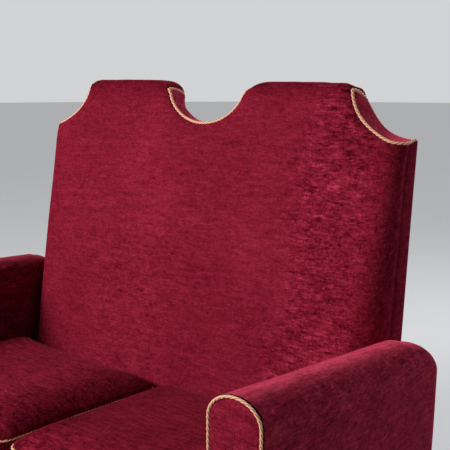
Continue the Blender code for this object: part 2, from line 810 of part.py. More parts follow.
BORDER_TOP_Z = deck_z(DECK_FRONT_Y) - 0.001
border = []
for y, z in (
    (DECK_FRONT_Y - 0.0015, BORDER_TOP_Z),
    (DECK_FRONT_Y - 0.0070, BORDER_TOP_Z - 0.0015),
    (DECK_FRONT_Y - 0.0110, BORDER_TOP_Z - 0.0080),
    (DECK_FRONT_Y - 0.0140, BORDER_TOP_Z - 0.0500),
    (DECK_FRONT_Y - 0.0130, SKIRT_Z + 0.0300),
    (DECK_FRONT_Y - 0.0100, SKIRT_Z),
):
    border.append([(x, y, z) for x in (-0.588, 0.0, 0.588)])
add_sheet("front_border", border, "velvet", (0, 3.0, 0.2))

add_box(
    "dust_cover",
    (-0.610, RAIL_FRONT_Y + 0.004, RAIL_Z - 0.0015),
    (0.610, RAIL_REAR_Y - 0.004, RAIL_Z - GAP),
    "black_cambric",
    bevel=0,
)


# ---------------------------------------------------------------- loose seat cushions
CUSHION_Y = (CUSHION_FRONT_Y + CUSHION_REAR_Y) / 2
CUSHION_REACH = CORD_R * 2 + GAP            # cords outside the cover
CUSHION_HALF_D = (CUSHION_REAR_Y - CUSHION_FRONT_Y) / 2
CUSHION_LOW = deck_z(CUSHION_Y) + CUSHION_BELLY + 0.002


def cushion_outline(half_w, half_d, radius, corner_steps=4):
    """A rounded rectangle in plan with a point in the middle of each side."""
    points = []
    for cx, cy, start in (
        (half_w - radius, half_d - radius, 0),
        (-half_w + radius, half_d - radius, 90),
        (-half_w + radius, -half_d + radius, 180),
        (half_w - radius, -half_d + radius, 270),
    ):
        for i in range(corner_steps + 1):
            angle = math.radians(start + 90 * i / corner_steps)
            points.append((cx + radius * math.cos(angle), cy + radius * math.sin(angle)))
        turn = math.radians(start + 90)
        side = (half_w if start in (90, 270) else half_d)
        middle = (half_d if start in (0, 180) else half_w)
        points.append((round(math.cos(turn)) * middle * (start in (90, 270)),
                       round(math.sin(turn)) * middle * (start in (0, 180))))
        assert side > 0
    return points


def cushion_rings(inset):
    """Crowned cushion as closed rings, relative to the middle of its bottom seam."""
    half_w = CUSHION_HALF_W - CUSHION_REACH - inset
    half_d = CUSHION_HALF_D - CUSHION_REACH - inset
    low = 0.0
    high = CUSHION_SIDE
    rings = []
    for scale, height in (
        (0.45, low - CUSHION_BELLY + inset),
        (0.88, low - CUSHION_BELLY * 0.7 + inset),
        (0.985, low - CUSHION_BELLY * 0.2 + inset),
        (1.0, low + inset),
        (1.0, high - inset),
        (0.975, high + CUSHION_CROWN * 0.16 - inset),
        (0.88, high + CUSHION_CROWN * 0.50 - inset),
        (0.68, high + CUSHION_CROWN * 0.82 - inset),
        (0.35, high + CUSHION_CROWN - inset),
    ):
        outline = cushion_outline(half_w * scale, half_d * scale, CUSHION_CORNER * scale)
        rings.append([(x, y, height - y * DECK_SLOPE) for x, y in outline])
    return rings


def add_cushion(side, sign):
    origin = (sign * CUSHION_X, CUSHION_Y, CUSHION_LOW)
    add_loft(f"seat_foam_{side}", cushion_rings(CLOTH + 4 * GAP), "foam", origin)
    cover = add_loft(f"seat_cover_{side}", cushion_rings(0.0), "velvet", origin, smooth=True)
    solid = cover.modifiers.new("cloth thickness", "SOLIDIFY")
    solid.thickness = CLOTH
    solid.offset = -1.0
    solid.use_even_offset = True

    rear = CUSHION_HALF_D - CUSHION_REACH
    zip_z = CUSHION_SIDE / 2 - rear * DECK_SLOPE
    bm = bmesh.new()
    bmesh.ops.create_cube(bm, size=1.0)
    bmesh.ops.scale(bm, vec=(ZIP_LEN, 0.010, ZIP_H), verts=bm.verts)
    cutter_mesh = bpy.data.meshes.new(f"zip_opening_{side}")
    bm.to_mesh(cutter_mesh)
    bm.free()
    cutter = bpy.data.objects.new(f"zip_opening_{side}", cutter_mesh)
    cutter.location = (origin[0], origin[1] + rear, origin[2] + zip_z)
    cutter.hide_render = True
    cutter.display_type = "WIRE"
    guides.objects.link(cutter)
    cut = cover.modifiers.new("zip opening", "BOOLEAN")
    cut.operation = "DIFFERENCE"
    cut.solver = "EXACT"
    cut.object = cutter

    zip_low = (
        origin[0] - ZIP_LEN / 2 + GAP,
        origin[1] + rear - 0.0022,
        origin[2] + zip_z - ZIP_H / 2 + GAP,
    )
    zip_high = (
        origin[0] + ZIP_LEN / 2 - GAP,
        origin[1] + rear + 0.0004,
        origin[2] + zip_z + ZIP_H / 2 - GAP,
    )
    add_box(f"zip_tape_{side}", zip_low, zip_high, "zip_tape", bevel=0)
    slider_x = origin[0] + ZIP_LEN / 2 - 0.012
    slider_y = zip_high[1] + GAP
    slider_z = origin[2] + zip_z
    slider = add_box(
        f"zip_slider_{side}",
        (slider_x - SLIDER_LEN / 2, slider_y, slider_z - 0.004),
        (slider_x + SLIDER_LEN / 2, slider_y + 0.0035, slider_z + 0.004),
        "zip_brass",
        bevel=0.001,
    )
    assert slider.name.startswith("zip_slider")

    half_w = CUSHION_HALF_W - CORD_R
    half_d = CUSHION_HALF_D - CORD_R
    for level, height in (("top", CUSHION_SIDE), ("bottom", 0.0)):
        loop = cushion_outline(half_w, half_d, CUSHION_CORNER + CORD_R)
        path = [(x, y, height - y * DECK_SLOPE) for x, y in loop]
        add_cord(f"seat_cord_{level}_{side}", path, origin)


for side, sign in (("left", -1), ("right", 1)):
    add_cushion(side, sign)
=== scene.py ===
"""Looks of the two-seat settee: velvet covers, twisted cord trim, stuffed back, arms and cushions.

Metres, +Z up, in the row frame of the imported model.  The settee faces -Y.
"""

import contextlib
import math

import bmesh
import bpy
import numpy as np
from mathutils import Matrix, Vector, noise
from mathutils.bvhtree import BVHTree
from mathutils.kdtree import KDTree


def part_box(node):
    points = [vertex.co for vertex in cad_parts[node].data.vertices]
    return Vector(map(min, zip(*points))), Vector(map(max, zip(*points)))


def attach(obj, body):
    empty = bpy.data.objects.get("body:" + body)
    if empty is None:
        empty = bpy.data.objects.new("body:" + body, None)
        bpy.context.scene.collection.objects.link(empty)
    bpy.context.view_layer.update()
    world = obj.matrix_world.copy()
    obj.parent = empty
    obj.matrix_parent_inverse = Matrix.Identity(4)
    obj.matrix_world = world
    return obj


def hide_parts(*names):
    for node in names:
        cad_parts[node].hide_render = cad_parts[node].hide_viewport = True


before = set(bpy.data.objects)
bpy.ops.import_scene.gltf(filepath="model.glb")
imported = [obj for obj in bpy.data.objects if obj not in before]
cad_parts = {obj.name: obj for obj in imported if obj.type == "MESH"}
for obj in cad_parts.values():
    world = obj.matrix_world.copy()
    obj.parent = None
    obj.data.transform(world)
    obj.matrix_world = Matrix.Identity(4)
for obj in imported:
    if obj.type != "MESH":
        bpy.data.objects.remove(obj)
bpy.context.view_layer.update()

# ---------------------------------------------------------------- sizes taken from the frame
_, BACK_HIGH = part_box("back_cover_front")
REAR_LOW, REAR_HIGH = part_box("back_cover_rear")
BACK_HALF_W = BACK_HIGH.x
TOP_Z = BACK_HIGH.z
REAR_Y = REAR_HIGH.y
CUSHION_LOW, CUSHION_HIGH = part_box("seat_cover_right")
ZIP_LOW, ZIP_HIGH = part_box("zip_tape_right")
DECK_LOW, DECK_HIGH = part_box("deck_cloth")
RAIL_REAR_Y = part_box("back_rail")[1].y
BAND_HEM_Z = REAR_LOW.z + 0.003
SEAM_TOP, SEAM_LOW = (
    sum(corner.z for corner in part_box(f"seat_cord_{level}_right")) / 2 for level in ("top", "bottom")
)

# ---------------------------------------------------------------- shape of the upholstery
SIDES = (("left", -1), ("right", 1))

# the back leans: its front and rear planes start here at TOP_Z and come forward going down
FACE_Y = 0.326
FACE_SLOPE = 0.190
REAR_SLOPE = 0.103
SEAT_LINE_Z = 0.420
HEM_Z = 0.310
REAR_HEM_Z = 0.182
SWELL_TOP_Z = 1.050
# sizes that grow downwards: (at SWELL_TOP_Z, growth by the seat line, power of the growth)
FACE_PAD = (0.018, 0.014, 1.6)
SIDE_WRAP = (0.031, 0.042, 1.0)
SIDE_ROLL = (0.040, 0.060, 2.0)
SHOULDER_WRAP = 0.010     # extra set-back of the front edge at the shoulders
PAD_EDGE = 0.045

# top edge of the back, as distances from the centre line and below TOP_Z
DIP_HALF_W = 0.1345
DIP_DEPTH = 0.111
SHOULDER_RUN = 0.1465
SHOULDER_DROP = 0.127
HUMP_IN = 0.184
HUMP_OUT = 0.412
INNER_CORNER = (0.139, -0.004)
CORNER_DIP_DROP = 0.049
CORNER_OUT_DROP = 0.026

CORD_R = 0.0030
CORD_PITCH = 0.011
SCALLOP_CORD_R = 0.0041
DIP_REAR_ROLL = 0.031     # how far the linings roll down at the rear edge
CORNER_REAR_ROLL = 0.003
REAR_CORD_DROP = 0.004    # the rear cords lie this far below the rolled edge
FRONT_DROOP = 0.008       # the front edge sags this much below the rear one at a shoulder
BOARD_DEPTHS = (0.0028, 0.0218)     # rear and front of the top board, in front of the rear plane
BOARD_INSET = 0.0105
BOARD_END_GAP = 0.0135
SEAM_INSET = 0.0018       # covers meet this far inside the cord line

# half-outline indices, counted from the middle of the dip
DIP_LAST = 33             # where the centre lining and its cord stop
HUMP_FIRST = 34
HUMP_LAST = 78
CORNER_FIRST = 79         # where a corner lining starts
DIP_SLIDE = 3             # the crossing cords reach the rear this many indices further down
CORNER_SLIDE = 4
# the stuffing rounds the hump corners further at the rear: depth, from index, to index
REAR_SPREAD = (0.008, 74, 106)
REAR_DROPS = ((0.010, 60, 88), (0.003, 28, 46))

ARM_IN_X = 0.592
ARM_OUT_X = 0.710
ARM_HALF_W = (ARM_OUT_X - ARM_IN_X) / 2
ARM_ROUND = 0.045
ARM_FRONT_Y = -0.379
ARM_REAR_Y = 0.297
ARM_REAR_SET_IN = 0.034
ARM_TOP_FRONT_Z = 0.716
ARM_MIDDLE_Z = 0.65       # height at which the arm's length is measured
ARM_INNER_HEM_Z = 0.308
SKIRT_Z = 0.172
# shape of each arm's rear end: height at the rear, length and depth of the rounding
ARM_REAR = {"left": (0.674, 0.060, 0.040), "right": (0.660, 0.110, 0.056)}
# painted shading of each arm as a whole: painted shade on the left arm, a little painted light on the
# right
ARM_PAINTED_SHADING = {"left": -0.14, "right": 0.05}
REAR_CORNER_TOP_Z = 0.330
DECK_TUCK = 0.030         # the deck cloth is tucked this far under the back

SEAM_H = SEAM_TOP - SEAM_LOW        # height of the boxing band
CUSHION_CX = (CUSHION_LOW.x + CUSHION_HIGH.x) / 2
CUSHION_CY = (CUSHION_LOW.y + CUSHION_HIGH.y) / 2
CUSHION_HALF_W = (CUSHION_HIGH.x - CUSHION_LOW.x) / 2
CUSHION_HALF_D = (CUSHION_HIGH.y - CUSHION_LOW.y) / 2
CUSHION_REACH_X = 0.2915
CUSHION_CORNER_R = 0.040
DECK_SLOPE = 0.035
CROWN_RISE = 0.050        # highest point of the top panel above its seam
CORNER_FILL = 0.024       # the outer rear corners spread towards the back
SEAM_PULL = 0.0045        # the sides pull in this far between the corners
PUFF_LIMIT = 0.026        # farthest that the pressure may move the cloth
PUFF_FRAMES = 20

FINE = 1.0


# ---------------------------------------------------------------- small helpers
def roll(ratio):
    """Quarter-round easing from 0 at an edge to 1 inside it."""
    ratio = max(0.0, min(1.0, ratio))
    return math.sqrt(1 - (1 - ratio) ** 2)


def smooth(ratio):
    """Soft step from 0 to 1."""
    ratio = max(0.0, min(1.0, ratio))
    return ratio * ratio * (3 - 2 * ratio)


def swell(sizes, z):
    """A size that grows towards the seat."""
    share = (SWELL_TOP_Z - max(z, SEAT_LINE_Z)) / (SWELL_TOP_Z - SEAT_LINE_Z)
    start, growth, power = sizes
    return start + growth * max(0.0, share) ** power


def bumps(height, *place):
    """Smooth repeatable unevenness, up to about this height either way."""
    return noise.noise(Vector(place)) * height


def near(distance, width):
    """1 at no distance, falling away over a width."""
    return math.exp(-((distance / width) ** 2))


def within_back(x, margin=0.0):
    return max(margin - BACK_HALF_W, min(BACK_HALF_W - margin, x))


def spread(start, end, count):
    """Evenly spaced values, with both ends."""
    return [start + (end - start) * i / count for i in range(count + 1)]


def link(obj, material, slot, *replaced, body="settee", smooth_shade=True):
    """Put a new piece in the scene, on its body and in place of CAD nodes."""
    if obj.name not in bpy.context.scene.collection.objects:
        bpy.context.scene.collection.objects.link(obj)
    obj.data.materials.clear()
    obj.data.materials.append(material)
    if smooth_shade:
        for polygon in obj.data.polygons:
            polygon.use_smooth = True
    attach(obj, body)
    if replaced:
        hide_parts(*replaced)


def grid_object(name, rows, wrap=False):
    """A mesh over rows of points; `wrap` joins the last column to the first."""
    count = len(rows[0])
    faces = []
    for r in range(len(rows) - 1):
        for c in range(count if wrap else count - 1):
            a = r * count + c
            b = r * count + (c + 1) % count
            faces.append((a, b, b + count, a + count))
    mesh = bpy.data.meshes.new(name)
    mesh.from_pydata([tuple(p) for row in rows for p in row], [], faces)
    mesh.update()
    return bpy.data.objects.new(name, mesh)


def sheet(name, outer, inner, spot):
    """A grid whose points come from a function of two running values."""
    return grid_object(name, [[spot(a, b) for b in inner] for a in outer])


def object_from(bm, name):
    """A new object that holds a finished bmesh."""
    mesh = bpy.data.meshes.new(name)
    bm.to_mesh(mesh)
    bm.free()
    return bpy.data.objects.new(name, mesh)


@contextlib.contextmanager
def editing(obj):
    """The object's mesh as a bmesh, written back at the end."""
    bm = bmesh.new()
    bm.from_mesh(obj.data)
    yield bm
    bm.to_mesh(obj.data)
    bm.free()


def weld(obj, distance=0.00005):
    with editing(obj) as bm:
        bmesh.ops.remove_doubles(bm, verts=bm.verts, dist=distance)
        bmesh.ops.recalc_face_normals(bm, faces=bm.faces)


def evaluated_mesh(obj):
    """The object's mesh with its modifiers applied; the modifiers are then removed."""
    depsgraph = bpy.context.evaluated_depsgraph_get()
    mesh = bpy.data.meshes.new_from_object(obj.evaluated_get(depsgraph))
    obj.modifiers.clear()
    return mesh


def paint(obj, **layers):
    """Float attributes on the vertices, each one number or a function of the position."""
    for name, value in layers.items():
        layer = obj.data.attributes.new(name, "FLOAT", "POINT")
        values = [value(v.co) if callable(value) else value for v in obj.data.vertices]
        layer.data.foreach_set("value", values)


# ---------------------------------------------------------------- materials
class Shader:
    """A thin wrapper that builds a node material."""

    def __init__(self, name):
        self.material = bpy.data.materials.new(name)
        self.material.use_nodes = True
        self.tree = self.material.node_tree
        self.tree.nodes.clear()
        self.output = self.node("OutputMaterial")

    def node(self, kind, inputs=None, **settings):
        made = self.tree.nodes.new(f"ShaderNode{kind}")
        for key, value in settings.items():
            setattr(made, key, value)
        for key, value in (inputs or {}).items():
            self.join(made.inputs[key], value)
        return made

    def join(self, socket, value):
        if isinstance(value, bpy.types.NodeSocket):
            self.tree.links.new(value, socket)
        elif isinstance(value, tuple) and len(value) == 3 and len(socket.default_value) == 4:
            socket.default_value = (*value, 1.0)
        else:
            socket.default_value = value

    def math(self, operation, *values, clamp=False):
        made = self.node("Math", dict(enumerate(values)), operation=operation, use_clamp=clamp)
        return made.outputs[0]

    def add(self, first, *others):
        for other in others:
            first = self.math("ADD", first, other)
        return first

    def times(self, a, b):
        return self.math("MULTIPLY", a, b)

    def noise(self, scale, detail=2.0, rough=0.5, distort=0.0):
        place = self.node("TexCoord").outputs["Object"]
        stretched = self.node("Mapping", {"Vector": place, "Scale": scale}).outputs["Vector"]
        look = {"Scale": 1.0, "Detail": detail, "Roughness": rough, "Distortion": distort}
        return self.node("TexNoise", {"Vector": stretched, **look}).outputs["Fac"]

    def remap(self, value, low, high, to_low=0.0, to_high=1.0):
        limits = {"From Min": low, "From Max": high, "To Min": to_low, "To Max": to_high}
        return self.node("MapRange", {"Value": value, **limits}).outputs["Result"]

    def ramp(self, value, stops):
        made = self.node("ValToRGB", {"Fac": value})
        elements = made.color_ramp.elements
        while len(elements) < len(stops):
            elements.new(0.5)
        for element, (position, colour) in zip(elements, stops):
            element.position = position
            element.color = (*colour, 1.0)
        return made.outputs["Color"]

    def attribute(self, name):
        return self.node("Attribute", attribute_name=name).outputs["Fac"]

    def finish(self, colour, roughness, relief=None, **more):
        """A surface; relief is a bump's (height, strength, distance)."""
        inputs = {"Base Color": colour, "Roughness": roughness}
        inputs.update((name.replace("_", " "), value) for name, value in more.items())
        if relief:
            bump = dict(zip(("Height", "Strength", "Distance"), relief))
            inputs["Normal"] = self.node("Bump", bump).outputs["Normal"]
        surface = self.node("BsdfPrincipled", inputs)
        self.tree.links.new(surface.outputs["BSDF"], self.output.inputs["Surface"])
        return self.material


VELVET_STOPS = (
    (0.00, (0.030, 0.0012, 0.0030)),
    (0.25, (0.105, 0.0042, 0.0120)),
    (0.52, (0.228, 0.0112, 0.0290)),
    (0.75, (0.350, 0.0235, 0.0570)),
    (1.00, (0.640, 0.0500, 0.1200)),
)
# gold cord colours: the low stops are the painted shade of the twist grooves, the high ones painted light
# on the strands
GOLD_STOPS = (
    (0.00, (0.600, 0.210, 0.105)),
    (0.25, (0.900, 0.410, 0.220)),
    (0.60, (1.000, 0.550, 0.330)),
    (1.00, (1.000, 0.690, 0.460)),
)


def velvet(name, weft="X", crush=0.5, shade=1.0, sheen=0.25):
    """Crushed chenille velvet: slubs along the weft, warp ribs across it, and bruised pile, with painted
    shade and painted light from vertex layers and a painted-shade factor on the colours.
    """
    s = Shader(name)

    def pattern(weft_scale, cross_scale, *look):
        return s.noise(tuple(weft_scale if axis == weft else cross_scale for axis in "XYZ"), *look)

    weave = pattern(430, 430, 1.5, 0.7)
    slub_fine = pattern(75, 230, 2.5, 0.65)
    slub_wide = pattern(20, 95, 3.0, 0.6)
    warp = pattern(260, 60, 1.0)
    bruise = pattern(30, 74, 6.0, 0.72, 0.3)
    flecks = pattern(70, 130, 3.0, 0.6, 0.4)
    ragged = pattern(40, 170, 4.0, 0.7)
    cloud = pattern(3.6, 3.9, 4.0, 0.6)
    # crush sets the pile's contrast; the other two layers are painted shade and painted light
    crushed, turned, nap = (s.attribute(layer) for layer in ("crush", "turned", "nap"))

    threads = s.add(
        s.remap(slub_fine, 0.25, 0.75, -0.16, 0.16),
        s.remap(slub_wide, 0.28, 0.72, -0.10, 0.10),
        s.remap(warp, 0.3, 0.7, -0.05, 0.05),
        s.remap(weave, 0.3, 0.7, -0.10, 0.10),
    )
    threads = s.times(threads, s.math("MULTIPLY_ADD", crushed, 0.9, crush + 0.50))
    dark = s.remap(bruise, 0.32, 0.47, -0.28, 0.0)
    bright = s.remap(bruise, 0.52, 0.72, 0.0, 0.20)
    patches = s.times(s.add(dark, bright), s.math("MULTIPLY_ADD", crushed, 0.85, crush))
    torn = s.times(s.remap(ragged, 0.32, 0.68, -0.20, 0.18), crushed)
    specks = s.remap(flecks, 0.30, 0.40, -0.10, 0.0)
    tone = s.remap(cloud, 0.3, 0.7, 0.46, 0.59)
    # painted shade: darker, with a ragged edge, where the back's right side turns from the key light
    ragged_edge = s.math("MULTIPLY_ADD", s.add(bruise, ragged), 0.9, -0.9)
    away = s.remap(s.add(turned, ragged_edge), 0.25, 0.62, 0.0, -0.21)
    value = s.add(tone, threads, patches, torn, specks, away, nap)
    # painted shade: the shade factor darkens every colour stop, for darker copies of the velvet
    stops = [(position, tuple(shade * c for c in colour)) for position, colour in VELVET_STOPS]
    height = s.add(*(
        s.times(part, weight)
        for part, weight in ((slub_fine, 0.7), (slub_wide, 0.6), (bruise, 0.8), (weave, 0.5))
    ))
    return s.finish(
        s.ramp(value, stops), 0.88, (height, 0.55, 0.0012), Specular_IOR_Level=0.0,
        Sheen_Weight=sheen, Sheen_Roughness=0.38, Sheen_Tint=(1.0, 0.12, 0.21),
    )


def gold_cord():
    """Rayon cord: strands painted lighter on their crowns and painted dark in the twist grooves as shade,
    over fibre grain.
    """
    s = Shader("gold_cord")
    twist = s.node("Attribute", attribute_name="twist")
    parts = s.node("SeparateXYZ", {"Vector": twist.outputs["Vector"]}).outputs
    angle = s.math("ARCTAN2", parts["Z"], parts["Y"])
    # the twist's wave: painted light and shade in the colour, and the height of the bump
    strand_shading_and_relief = s.remap(s.math("SINE", s.add(parts["X"], s.times(angle, 3.0))), -1.0, 1.0)
    fibre = s.noise((900, 900, 900))
    value = s.math("ADD", strand_shading_and_relief, s.remap(fibre, 0.3, 0.7, -0.18, 0.18), clamp=True)
    return s.finish(
        s.ramp(value, GOLD_STOPS), 0.48, (s.add(strand_shading_and_relief, s.times(fibre, 0.25)), 0.5, 0.0007),
        Specular_IOR_Level=0.20, Sheen_Weight=0.20, Sheen_Tint=(1.0, 0.65, 0.45),
    )


def wood(name, tones, grain=(7, 90, 90), roughness=0.6, coat=0.0):
    s = Shader(name)
    figure = s.noise(grain, 5.0, 0.62, 0.8)
    pores = s.noise(tuple(g * 6 for g in grain))
    value = s.add(figure, s.remap(pores, 0.35, 0.65, -0.10, 0.10))
    rough = s.remap(pores, 0.3, 0.7, roughness - 0.08, roughness + 0.08)
    return s.finish(
        s.ramp(value, list(zip((0.25, 0.50, 0.78), tones))), rough, (pores, 0.25, 0.0004),
        Coat_Weight=coat, Coat_Roughness=0.22,
    )


def plain_weave(name, dark, light, pitch=900.0):
    """A flat cloth with crossing threads."""
    s = Shader(name)
    warp = s.noise((pitch, 40, 40), 1.0)
    weft = s.noise((40, pitch, pitch), 1.0)
    cloud = s.noise((6, 6, 6), 3.0)
    threads = s.times(s.add(warp, weft), 0.5)
    value = s.add(threads, s.remap(cloud, 0.3, 0.7, -0.15, 0.15))
    return s.finish(s.ramp(value, [(0.3, dark), (0.7, light)]), 0.9, (threads, 0.4, 0.0005))


def worn_metal(name, colour, worn):
    s = Shader(name)
    scuff = s.noise((220, 220, 220), 4.0)
    rough = s.remap(scuff, 0.3, 0.7, 0.25, 0.5)
    stops = [(0.35, worn), (0.6, colour)]
    return s.finish(s.ramp(scuff, stops), rough, (scuff, 0.15, 0.0002), Metallic=1.0)


def matte_plastic(name, colour):
    s = Shader(name)
    grain = s.noise((600, 600, 600))
    stops = [(0.35, colour), (0.65, tuple(c * 1.5 for c in colour))]
    rough = s.remap(grain, 0.3, 0.7, 0.42, 0.6)
    return s.finish(s.ramp(grain, stops), rough, (grain, 0.2, 0.0003))


VELVET_BACK = velvet("velvet_back", crush=0.30)
VELVET_SEAT = velvet("velvet_seat", sheen=0.15)
VELVET_ARM = velvet("velvet_arm", weft="Y", crush=0.75, sheen=0.80)
# painted shade: a darker copy of the velvet, for the back's side bands and the rear corners
VELVET_SHADED_SIDE = velvet("velvet_shaded_side", weft="Y", crush=0.45, shade=0.85)
VELVET_BAND = velvet("velvet_band", crush=0.55, sheen=0.8)
VELVET_PANEL = velvet("velvet_front_panel", crush=0.4)
CORD = gold_cord()
BEECH_TONES = ((0.33, 0.19, 0.09), (0.50, 0.32, 0.17), (0.62, 0.43, 0.25))
BEECH = wood("beech", BEECH_TONES)
BEECH_UP = wood("beech_upright", BEECH_TONES, (90, 90, 7))
BEECH_DEEP = wood("beech_side", BEECH_TONES, (90, 7, 90))
PLY = wood("plywood", ((0.42, 0.28, 0.15), (0.60, 0.43, 0.25), (0.70, 0.53, 0.33)), roughness=0.7)
MAHOGANY = wood(
    "mahogany", ((0.020, 0.006, 0.004), (0.060, 0.017, 0.009), (0.120, 0.036, 0.018)),
    (85, 85, 8), roughness=0.32, coat=0.5,
)
DECK_COTTON = plain_weave("deck_cotton", (0.050, 0.004, 0.010), (0.120, 0.012, 0.024))
CAMBRIC = plain_weave("black_cambric", (0.010, 0.010, 0.011), (0.030, 0.030, 0.033))
ZIP_TAPE = plain_weave("zip_tape", (0.060, 0.004, 0.010), (0.150, 0.012, 0.026), pitch=1400.0)
BRASS = worn_metal("zip_brass", (0.62, 0.42, 0.16), (0.36, 0.23, 0.09))
NYLON = matte_plastic("nylon_glide", (0.035, 0.032, 0.030))


# ---------------------------------------------------------------- outline of the back
def face_plane_y(z):
    return FACE_Y - (TOP_Z - z) * FACE_SLOPE


def rear_plane_y(z):
    return REAR_Y - (TOP_Z - z) * REAR_SLOPE


def bezier(start, control, end, t):
    return tuple(
        (1 - t) ** 2 * a + 2 * t * (1 - t) * b + t * t * c
        for a, b, c in zip(start, control, end)
    )


def half_outline():
    """Right half of the top edge, dip centre to shoulder, as finely spaced (x, z)."""
    dip_end = math.acos(CORNER_DIP_DROP / DIP_DEPTH)
    turn = math.acos(CORNER_OUT_DROP / SHOULDER_DROP)

    def scallop(angle):
        return BACK_HALF_W - SHOULDER_RUN * math.sin(angle), -SHOULDER_DROP * math.cos(angle)

    points = [(DIP_HALF_W * math.sin(a), -DIP_DEPTH * math.cos(a)) for a in spread(0, dip_end, 29)]
    inner, outer = points[-1], scallop(turn)
    points += [bezier(inner, INNER_CORNER, (HUMP_IN, 0.0), i / 12) for i in range(1, 13)]
    points += [(x, 0.0) for x in spread(HUMP_IN, HUMP_OUT, 30)[1:]]
    wall = (BACK_HALF_W - SHOULDER_RUN, 0.0)
    points += [bezier((HUMP_OUT, 0.0), wall, outer, i / 10) for i in range(1, 11)]
    points += [scallop(turn * (1 - i / 40) ** 1.25) for i in range(1, 41)]
    return [(x, TOP_Z + z) for x, z in points]


HALF = half_outline()
OUTLINE = [(-x, z) for x, z in HALF[:0:-1]] + HALF
OUTLINE_XZ = np.array(OUTLINE)
MIDDLE = len(HALF) - 1
SHOULDER_Z = TOP_Z - SHOULDER_DROP


def outline_normals():
    """Unit vectors square to the top edge and pointing out of the back, in x and z."""
    normals = [(0.0, 1.0)]
    for before, after in zip(OUTLINE, OUTLINE[2:]):
        along = Vector((after[0] - before[0], after[1] - before[1])).normalized()
        normals.append((-along.y, along.x))
    return normals + [(0.0, 1.0)]


NORMALS = outline_normals()


def inset(i, distance):
    """An outline point moved into the back."""
    (x, z), (out_x, out_z) = OUTLINE[i], NORMALS[i]
    return x - out_x * distance, z - out_z * distance


def front_droop(x):
    return FRONT_DROOP * smooth((abs(x) - 0.49) / 0.09)


def hill(k, height, start, end):
    """A smooth bump between two half-outline indices."""
    share = (abs(k) - start) / (end - start)
    return height * math.sin(math.pi * share) ** 2 if 0 < share < 1 else 0.0


def rear_roll(i):
    """How far a lining rolls down at the rear, fading out towards the humps."""
    k = abs(i - MIDDLE)
    if k > DIP_LAST + 2:
        return CORNER_REAR_ROLL if k >= HUMP_LAST else 0.0
    return DIP_REAR_ROLL * smooth((DIP_LAST + 1 - k) / 11)


def rear_edge(i, distance=0.0):
    """The outline at the rear, where the stuffing rounds the hump corners further."""
    k = i - MIDDLE
    x, z = inset(i, distance)
    x += math.copysign(hill(k, *REAR_SPREAD), k)
    return x, z - sum(hill(k, *drop) for drop in REAR_DROPS)


def rear_profile(distance, roll_share=1.0):
    """The rear edge moved in, with x kept in step from the centre outwards."""
    half = []
    reach = 0.0
    for k in range(0, len(HALF), 2):
        i = MIDDLE + k
        x, z = rear_edge(i, distance + roll_share * rear_roll(i))
        reach = max(reach, min(x, BACK_HALF_W - 0.001))
        half.append((reach, z))
        reach += 0.0002
    return [(-x, z) for x, z in half[:0:-1]] + half


def distance_to_outline(x, z):
    start = OUTLINE_XZ[:-1]
    run = OUTLINE_XZ[1:] - start
    offset = np.array((x, z)) - start
    t = np.clip((offset * run).sum(1) / (run * run).sum(1), 0, 1)
    gap = offset - run * t[:, None]
    return float(np.sqrt((gap * gap).sum(1).min()))


def side_wrap(z):
    return swell(SIDE_WRAP, z) + SHOULDER_WRAP * smooth((z - 1.03) / 0.06)


def side_set_back(x, z):
    return side_wrap(z) * (1 - roll((BACK_HALF_W - abs(x)) / swell(SIDE_ROLL, z)))


def face_y(x, z):
    """Stuffed front surface of the back, without its small unevenness."""
    plane = face_plane_y(max(z, SEAT_LINE_Z))
    from_top = roll(distance_to_outline(x, z) / PAD_EDGE)
    side = (BACK_HALF_W - abs(x)) / PAD_EDGE
    from_side = 0.6 * roll(side) + 0.4 * (1 - (x / BACK_HALF_W) ** 2)
    return plane - swell(FACE_PAD, z) * from_top * from_side + side_set_back(x, z)


# ---------------------------------------------------------------- cord
def resample(path, spacing, closed):
    """Evenly spaced points along a path, and its length."""
    points = np.array([tuple(p) for p in path] + [tuple(path[0])] * closed)
    reach = np.append(0.0, np.cumsum(np.linalg.norm(np.diff(points, axis=0), axis=1)))
    count = max(8, int(reach[-1] / spacing))
    targets = np.linspace(0.0, reach[-1], count + 1)[: count if closed else None]
    return np.column_stack([np.interp(targets, reach, axis) for axis in points.T]), reach[-1]


def relax(points, closed, rounds):
    """Soften the corners of a path."""
    for _ in range(rounds):
        fresh = points / 2 + (np.roll(points, 1, axis=0) + np.roll(points, -1, axis=0)) / 4
        if not closed:
            fresh[[0, -1]] = points[[0, -1]]
        points = fresh
    return points


